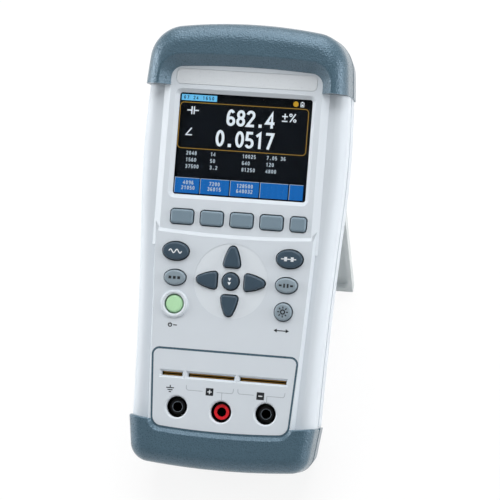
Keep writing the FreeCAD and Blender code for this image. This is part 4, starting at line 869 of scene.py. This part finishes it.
@dataclass
class Display:
    """Window, display module and the lit picture on it, in mm on the module's face."""

    face: float = -4.9
    sink: float = 0.02
    tag: Box = (-28.55, -13.2, 61.85, 64.4)
    tag_number: PlacedNumber = ("07 24 1650", -27.8, 62.4)
    tag_style: NumberStyle = NumberStyle(height=1.5, pitch=1.36, weight=0.17)
    frame: Box = (-28.85, 26.6, 41.6, 61.05)
    frame_corner: float = 1.6
    frame_line: float = 0.28
    big_numbers: tuple[PlacedNumber, ...] = (("682.4", -8.65, 52.1), ("0.0517", -12.75, 43.15))
    big_style: NumberStyle = NumberStyle(height=7.0, pitch=4.25, weight=0.165)
    # Two plates with leads, an angle, plus-or-minus and percent, beside the big numbers.
    signs: Sign = Sign(
        bars=(((-25.7, 57.75), (-23.9, 57.75)), ((-23.7, 59.4), (-23.7, 56.1)),
              ((-22.7, 59.4), (-22.7, 56.1)), ((-22.5, 57.75), (-20.7, 57.75)),
              ((-23.2, 50.3), (-25.5, 47.3), (-22.9, 47.3)),
              ((15.4, 57.5), (17.8, 57.5)), ((16.6, 58.7), (16.6, 56.3)),
              ((15.4, 55.5), (17.8, 55.5)), ((18.9, 55.3), (21.1, 58.8))),
        rings=(circle(19.1, 58.2, 0.5), circle(20.9, 55.9, 0.5)), bar_width=0.5)
    small_style: NumberStyle = NumberStyle(height=1.6, pitch=1.22, weight=0.19)
    small_feet: tuple[float, float, float] = (38.85, 36.0, 33.2)
    small_columns: tuple[tuple[float, tuple[str, str, str]], ...] = (
        (-24.9, ("2048", "1560", "37500")), (-14.3, ("14", "50", "3.2")),
        (-0.5, ("10025", "640", "81250")), (9.9, ("7.05 36", "120", "4800")))
    box_rows: Span = (22.6, 29.05)
    box_spans: tuple[Span, ...] = (
        (-28.7, -18.05), (-17.55, -5.13), (-4.6, 7.8), (8.35, 20.28), (20.9, 26.75))
    box_edge: float = 0.16
    box_numbers: tuple[PlacedNumber, ...] = (
        ("4096", -25.3, 26.3), ("21050", -25.9, 24.1), ("7200", -13.9, 26.3),
        ("36015", -14.5, 24.1), ("128500", -2.0, 26.3), ("640032", -2.0, 24.1))
    roundel_place: Span = (20.85, 63.0)
    roundel_radius: float = 1.15
    # Small upright cell with a cap and a level.
    gauge: Sign = Sign(
        rings=(box_outline(23.0, 24.3, 62.0, 63.7),), ring_width=0.25,
        plates=(box_outline(23.35, 23.95, 63.8, 64.1), box_outline(23.3, 24.0, 62.3, 63.0)))

    def dress(self, bench: Bench) -> None:
        """Give the window and the module their finishes.

        Args:
            bench: Frame, case and pieces.
        """
        bench.dress(Finishes.WINDOW, "display_window")
        bench.dress(Finishes.FOAM_AND_GAP_SHADE, "window_gasket")
        bench.dress(Finishes.PANEL, "lcd_module")

    def build(self, bench: Bench) -> None:
        """Draw the picture as thin lit layers on the module's face, and print over some of them.

        Args:
            bench: Frame, case and pieces.
        """
        lit = layer_on(self.face, self.sink)
        over = layer_on(lit[1], OVERLAP_MM)
        bottom, top = self.box_rows
        small = [(text, left, foot) for left, column in self.small_columns
                 for text, foot in zip(column, self.small_feet)]
        boxes = [box_outline(left, right, bottom, top) for left, right in self.box_spans]
        edges = [np.array([[left, bottom], [left, top], [right, top]])
                 for left, right in self.box_spans]
        for name, surface, finish in (
            ("tag", star_plate(box_outline(*self.tag), lit), Finishes.PIXEL_SKY),
            ("tag_print", self.tag_style.draw(self.tag_number, over), Finishes.PANEL),
            ("frame_line", swept_bar(box_outline(*self.frame, self.frame_corner),
                                     self.frame_line, lit, closed=True), Finishes.PIXEL_GOLD),
            ("big_numbers", joined(self.big_style.draw(number, lit)
                                   for number in self.big_numbers), Finishes.PIXEL_WHITE),
            ("signs", self.signs.draw(lit), Finishes.PIXEL_WHITE),
            ("small_rows", joined(self.small_style.draw(number, lit) for number in small),
             Finishes.PIXEL_GREY),
            ("soft_boxes", joined(star_plate(box, lit) for box in boxes), Finishes.PIXEL_BLUE),
            ("soft_edges", joined(swept_bar(edge, self.box_edge, over) for edge in edges),
             Finishes.PIXEL_GREY),
            ("soft_print", joined(self.small_style.draw(number, over)
                                  for number in self.box_numbers), Finishes.PIXEL_GREY),
            ("roundel", star_plate(circle(*self.roundel_place, self.roundel_radius), lit),
             Finishes.PIXEL_AMBER),
            ("cell_gauge", self.gauge.draw(lit), Finishes.PIXEL_WHITE),
        ):
            bench.add(f"display_{name}", surface, finish, "case", "display_panel")


@dataclass
class Keypad:
    """Key caps and the plain signs on and beside them, in mm."""

    sink: float = 0.05
    oval_proud: float = 1.6
    center_proud: float = 1.2
    measure_place: Span = (-24.45, -2.4)
    setup_place: Span = (24.3, -2.4)
    system_place: Span = (-23.95, -13.5)
    hold_place: Span = (24.0, -13.5)
    light_place: Span = (23.46, -24.5)
    center_place: Span = (-0.3, PAD_Y_MM)
    light_print_place: Span = (23.2, -32.4)
    power_print_place: Span = (-24.6, -33.4)
    # Two periods of a sine.
    wave: Sign = Sign(bars=(sine_path(0.44, 0.75),), bar_width=0.45)
    # Level line with two slider blocks on it.
    sliders: Sign = Sign(
        bars=(((-3.2, 0.0), (3.2, 0.0)),),
        plates=(box_outline(-1.9, -0.7, -0.9, 0.9), box_outline(0.9, 2.1, -0.9, 0.9)))
    # Three small squares in a row.
    squares: Sign = Sign(plates=tuple(
        box_outline(middle - 0.6, middle + 0.6, -0.6, 0.6) for middle in (-1.9, 0.0, 1.9)))
    # Two upright bars between two short dashes.
    pause: Sign = Sign(
        bars=(((-0.75, -0.85), (-0.75, 0.85)), ((0.75, -0.85), (0.75, 0.85)),
              ((-3.0, 0.0), (-1.8, 0.0)), ((1.8, 0.0), (3.0, 0.0))), bar_width=0.8)
    # Small ring with eight rays.
    sun: Sign = Sign(
        bars=tuple(np.outer((1.45, 2.3), (math.cos(angle), math.sin(angle)))
                   for angle in np.arange(8) * math.tau / 8.0),
        rings=(circle(0.0, 0.0, 0.85),), bar_width=0.5, ring_width=0.55)
    # Two small arrowheads, one under the other, pointing down.
    double_arrow: Sign = Sign(plates=tuple(
        np.array([[0.0, rise - 0.75], [0.75, rise + 0.6], [-0.75, rise + 0.6]])
        for rise in (0.8, -1.0)))
    # Level line with an arrowhead at each end.
    two_way: Sign = Sign(
        bars=(((-2.0, 0.0), (2.0, 0.0)),),
        plates=tuple(side * np.array([[3.3, 0.0], [1.9, 0.8], [1.9, -0.8]])
                     for side in (1.0, -1.0)))
    # Open ring with a bar at its gap, and a short dash after it.
    power: Sign = Sign(
        bars=(arc_path(0.0, 0.0, 0.75, 0.75, 120.0, 420.0),
              ((0.0, 0.1), (0.0, 1.0)), ((1.4, 0.0), (3.0, 0.0))), bar_width=0.42)

    def dress(self, bench: Bench) -> None:
        """Give the caps and the mat their finishes.

        Args:
            bench: Frame, case and pieces.
        """
        bench.dress(Finishes.SOFT_KEY, *(f"soft_key_{number}" for number in range(1, 6)))
        bench.dress(Finishes.GREY_KEY, "system_key", "hold_key", "light_key")
        bench.dress(Finishes.DARK_KEY, "measure_key", "setup_key", "up_key", "down_key",
                    "left_key", "right_key", "center_key")
        bench.dress(Finishes.POWER_KEY, "power_key")
        # The mat shows only in the gaps round the keys, where its near black is painted shade.
        bench.dress(Finishes.FOAM_AND_GAP_SHADE, "keypad_mat")

    def build(self, bench: Bench) -> None:
        """Print the signs on the oval keys, on the pad's middle key and on the case.

        Args:
            bench: Frame, case and pieces.
        """
        oval = layer_on(DECK_MM + self.oval_proud, self.sink)
        for key, sign, place, ink, slot in (
            ("measure_key", self.wave, self.measure_place, Finishes.PALE_INK, "dark_key_rubber"),
            ("setup_key", self.sliders, self.setup_place, Finishes.PALE_INK, "dark_key_rubber"),
            ("system_key", self.squares, self.system_place, Finishes.INK, "soft_key_rubber"),
            ("hold_key", self.pause, self.hold_place, Finishes.INK, "soft_key_rubber"),
            ("light_key", self.sun, self.light_place, Finishes.INK, "soft_key_rubber"),
        ):
            bench.add(f"{key}_mark", sign.draw(oval, place), ink, key, slot)
        center = layer_on(DECK_MM + self.center_proud, self.sink)
        bench.add("center_key_mark", self.double_arrow.draw(center, self.center_place),
                  Finishes.PALE_INK, "center_key", "dark_key_rubber")
        deck = layer_on(DECK_MM, self.sink)
        for name, sign, place in (
            ("light_key_print", self.two_way, self.light_print_place),
            ("power_key_print", self.power, self.power_print_place),
        ):
            bench.add(name, sign.draw(deck, place), Finishes.INK, "case", "case_plastic")


@dataclass
class Terminals:
    """Jacks, sprung contacts and the printed lines that join slots to jacks, in mm."""

    sink: float = 0.05
    # Two brackets, each open in the middle for its square, with a stem down to its jack.
    lines: Sign = Sign(
        bars=(((-15.5, -58.2), (-15.4, -59.6), (-14.8, -60.25), (-8.3, -60.25)),
              ((-2.3, -60.25), (4.2, -60.25), (4.75, -59.6), (4.85, -58.2)),
              ((0.0, -60.25), (0.0, -63.2)),
              ((6.7, -58.1), (6.8, -59.5), (7.4, -60.1), (13.7, -60.1)),
              ((19.3, -60.1), (26.2, -60.1), (26.75, -59.5), (26.85, -58.1)),
              ((19.3, -60.1), (19.3, -62.8))), bar_width=0.2)
    square_lefts: Span = (-6.95, 14.85)
    square_width: float = 3.25
    square_rows: Span = (-61.85, -58.7)
    square_corner: float = 0.25
    # Plus and minus in the squares.
    square_signs: Sign = Sign(
        bars=(((-6.2, -60.28), (-4.45, -60.28)), ((-5.32, -61.15), (-5.32, -59.4)),
              ((15.6, -60.28), (17.35, -60.28))))
    # Stem over three bars that grow shorter: the sign for earth.
    guard_sign: Sign = Sign(
        bars=(((-22.4, -58.7), (-22.4, -59.8)), ((-24.1, -59.8), (-20.7, -59.8)),
              ((-23.5, -60.65), (-21.3, -60.65)), ((-22.9, -61.5), (-21.9, -61.5))),
        bar_width=0.42)
    jack_pitch: float = 19.05
    jack_y: float = -67.6
    jack_sink: float = 2.3
    highlight_ring_radius: float = 2.15
    highlight_ring_width: float = 0.22
    highlight_ring_sink: float = 0.02

    def dress(self, bench: Bench) -> None:
        """Give the jacks and contacts their finishes.

        Args:
            bench: Frame, case and pieces.
        """
        bench.dress(Finishes.BLACK, "jack_shrouds", "guard_jack_insulator", "low_jack_insulator")
        bench.dress(Finishes.RED, "high_jack_insulator")
        # The sockets' nickel is darkened: painted shade down the bores.
        bench.dress(Finishes.NICKEL_BORE_SHADE, "jack_sockets")
        bench.dress(Finishes.BRASS, "guard_contacts", "high_contacts", "low_contacts")

    def build(self, bench: Bench) -> None:
        """Print the lines, squares and signs, and paint a highlight ring at each black jack's
        mouth.

        Args:
            bench: Frame, case and pieces.
        """
        deck = layer_on(DECK_MM, self.sink)
        over = layer_on(deck[1], OVERLAP_MM)
        mouth = layer_on(DECK_MM - self.jack_sink, self.highlight_ring_sink)
        squares = Sign(plates=tuple(
            box_outline(left, left + self.square_width, *self.square_rows, self.square_corner)
            for left in self.square_lefts))
        # Pale rings at the black jacks' mouths: a painted highlight on their rims.
        rim_highlights = Sign(rings=tuple(circle(x, self.jack_y, self.highlight_ring_radius)
                                for x in (-self.jack_pitch, self.jack_pitch)),
                    ring_width=self.highlight_ring_width)
        for name, sign, layer, finish, slot in (
            ("terminal_lines", self.lines, deck, Finishes.LINE_INK, "case_plastic"),
            ("terminal_squares", squares, deck, Finishes.INK, "case_plastic"),
            ("jack_painted_rim_highlights", rim_highlights, mouth, Finishes.RIM_HIGHLIGHT, "black_plastic"),
            ("terminal_square_signs", self.square_signs, over, Finishes.PALE_INK, "case_plastic"),
            ("guard_sign", self.guard_sign, deck, Finishes.INK, "case_plastic"),
        ):
            bench.add(name, sign.draw(layer), finish, "case", slot)


@dataclass
class Insides:
    """Boards, display frame, battery bay and screws."""

    def dress(self, bench: Bench) -> None:
        """Give the inner pieces their finishes.

        Args:
            bench: Frame, case and pieces.
        """
        bench.dress(Finishes.BOARD, "main_board", "keypad_board")
        bench.dress(Finishes.FRAME, "lcd_frame")
        bench.dress(Finishes.RIBBON, "lcd_ribbon")
        bench.dress(Finishes.CHIP, "processor_chip", "range_relays", "buzzer")
        bench.dress(Finishes.TINPLATE, "shield_can", "usb_socket")
        bench.dress(Finishes.CELL, "battery_cells")
        bench.dress(Finishes.STEEL, "lcd_screws", "keypad_screws", "board_screws", "case_screws",
                    "battery_cover_screw", "battery_contacts")


@dataclass(frozen=True)
class Softbox:
    """Soft rectangular lamp that faces the tester, in metres and watts."""

    name: str
    place: Vector
    size: Span
    power: float
    target: Vector = (0.0, 0.0, 0.08)

    def hang(self) -> None:
        """Add the lamp to the scene, turned from its place to its target."""
        data = bpy.data.lights.new(self.name, "AREA")
        data.shape = "RECTANGLE"
        data.size, data.size_y = self.size
        data.energy = self.power
        lamp = bpy.data.objects.new(self.name, data)
        back = np.array(self.place) - np.array(self.target)
        back = back / np.linalg.norm(back)
        right = np.cross([0.0, 1.0, 0.0], back)
        right = right / np.linalg.norm(right)
        axes = np.column_stack([right, np.cross(back, right), back])
        lamp.matrix_world = Matrix(axes.tolist()).to_4x4()
        lamp.location = self.place
        bpy.context.scene.collection.objects.link(lamp)
        LOG.info("lamp %s: %.1f W", self.name, self.power)


@dataclass
class Studio:
    """Pale floor, soft lamps and the camera at the photograph's place.

    The camera's distance, shift, lens and sensor are in mm and its angles, taken from the
    case's face, in degrees. The rest is in metres.
    """

    distance: float = 1200.0
    yaw: float = -12.0
    pitch: float = -1.27
    roll: float = -4.463
    shift: Span = (-6.914, 0.151)
    lens: float = 205.91
    sensor: float = 36.0
    clip: Span = (0.05, 50.0)
    ambient: float = 0.3
    floor_half: float = 6.0
    floor_glow: float = 0.88
    lamps: tuple[Softbox, ...] = (
        Softbox("overhead_softbox", place=(0.0, 0.25, 1.2), size=(1.0, 0.8), power=10.4),
        Softbox("rear_softbox", place=(0.0, 0.85, 0.85), size=(1.2, 0.3), power=5.5),
        Softbox("left_softbox", place=(-1.1, 0.0, 0.4), size=(0.6, 0.5), power=7.5),
        Softbox("right_softbox", place=(1.1, 0.0, 0.4), size=(0.6, 0.5), power=6.5),
    )

    def build(self, case: CaseFrame) -> None:
        """Set the floor, the world, the lamps and the camera.

        Args:
            case: Frame of the reclined case, which the camera is aimed at.
        """
        self.floor()
        self.world()
        for lamp in self.lamps:
            lamp.hang()
        self.camera(case)
        bpy.context.scene.view_settings.view_transform = "Standard"

    def floor(self) -> None:
        """Lay a pale floor that the camera sees as white, with the object's soft shadow on it."""
        half = self.floor_half
        corners = np.column_stack([box_outline(-half, half, -half, half), np.zeros(4)])
        mesh = bpy.data.meshes.new("studio_floor")
        mesh.from_pydata(corners.tolist(), [], [(0, 1, 2, 3)])
        material = bpy.data.materials.new("studio_paper_white")
        material.use_nodes = True
        tree = material.node_tree
        tree.nodes.clear()
        paper = add_node(tree, "ShaderNodeBsdfDiffuse", {"Color": linear("#f2f2f2")})
        white = add_node(tree, "ShaderNodeEmission", {"Color": linear("#ffffff"), "Strength": 1.0})
        share = add_node(tree, "ShaderNodeMath", {0: self.seen(tree), 1: self.floor_glow},
                         operation="MULTIPLY")
        mixed = add_node(tree, "ShaderNodeMixShader", {
            0: share.outputs["Value"], 1: paper.outputs["BSDF"], 2: white.outputs["Emission"]})
        add_node(tree, "ShaderNodeOutputMaterial", {"Surface": mixed.outputs["Shader"]})
        mesh.materials.append(material)
        floor = bpy.data.objects.new("studio_floor", mesh)
        bpy.context.scene.collection.objects.link(floor)

    def seen(self, tree: Tree) -> Socket:
        """One where the eye sees a surface, directly or in metal or glass, and nought elsewhere.

        Args:
            tree: Node tree of the material.

        Returns:
            Value socket.
        """
        rays = add_node(tree, "ShaderNodeLightPath").outputs
        direct = add_node(tree, "ShaderNodeMath", {
            0: rays["Is Camera Ray"], 1: rays["Is Glossy Ray"]}, operation="MAXIMUM")
        return add_node(tree, "ShaderNodeMath", {
            0: direct.outputs["Value"], 1: rays["Is Transmission Ray"]},
            operation="MAXIMUM").outputs["Value"]

    def world(self) -> None:
        """Fill the room with an even pale light."""
        world = bpy.data.worlds.new("studio_room")
        world.use_nodes = True
        tree = world.node_tree
        tree.nodes.clear()
        room = add_node(tree, "ShaderNodeBackground", {
            "Color": linear("#ffffff"), "Strength": self.ambient})
        add_node(tree, "ShaderNodeOutputWorld", {"Surface": room.outputs["Background"]})
        bpy.context.scene.world = world

    def camera(self, case: CaseFrame) -> None:
        """Aim the camera: its axes are the rows of roll times pitch times yaw in the case's frame.

        Args:
            case: Frame of the reclined case.
        """
        yaw, pitch, roll = np.radians([self.yaw, self.pitch, self.roll])
        rows = turned(Axis.Z, roll) @ turned(Axis.X, pitch) @ turned(Axis.Y, yaw)
        across, up = self.shift
        eye = rows.T @ np.array([-across, -up, self.distance])
        data = bpy.data.cameras.new("photograph_camera")
        data.sensor_fit = "HORIZONTAL"
        data.sensor_width = self.sensor
        data.lens = self.lens
        data.clip_start, data.clip_end = self.clip
        camera = bpy.data.objects.new("photograph_camera", data)
        matrix = np.eye(4)
        matrix[:3, :3] = case.turn() @ rows.T
        matrix[:3, 3] = case.place(eye)
        camera.matrix_world = Matrix(matrix.tolist())
        bpy.context.scene.collection.objects.link(camera)
        bpy.context.scene.camera = camera


def main() -> None:
    """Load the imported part, dress it, add its marks and light it."""
    logging.basicConfig(level=logging.INFO, format="%(name)s: %(message)s")
    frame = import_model()
    case = CaseFrame.from_record(frame["record"])
    bench = Bench(frame["nodes"], case)
    display, keypad, terminals = Display(), Keypad(), Terminals()
    for assembly in (Shell(), display, keypad, terminals, Insides()):
        assembly.dress(bench)
    for assembly in (display, keypad, terminals):
        assembly.build(bench)
    Studio().build(case)
    LOG.info("%d new pieces", len(bench.pieces))


if __name__ == "__main__":
    main()
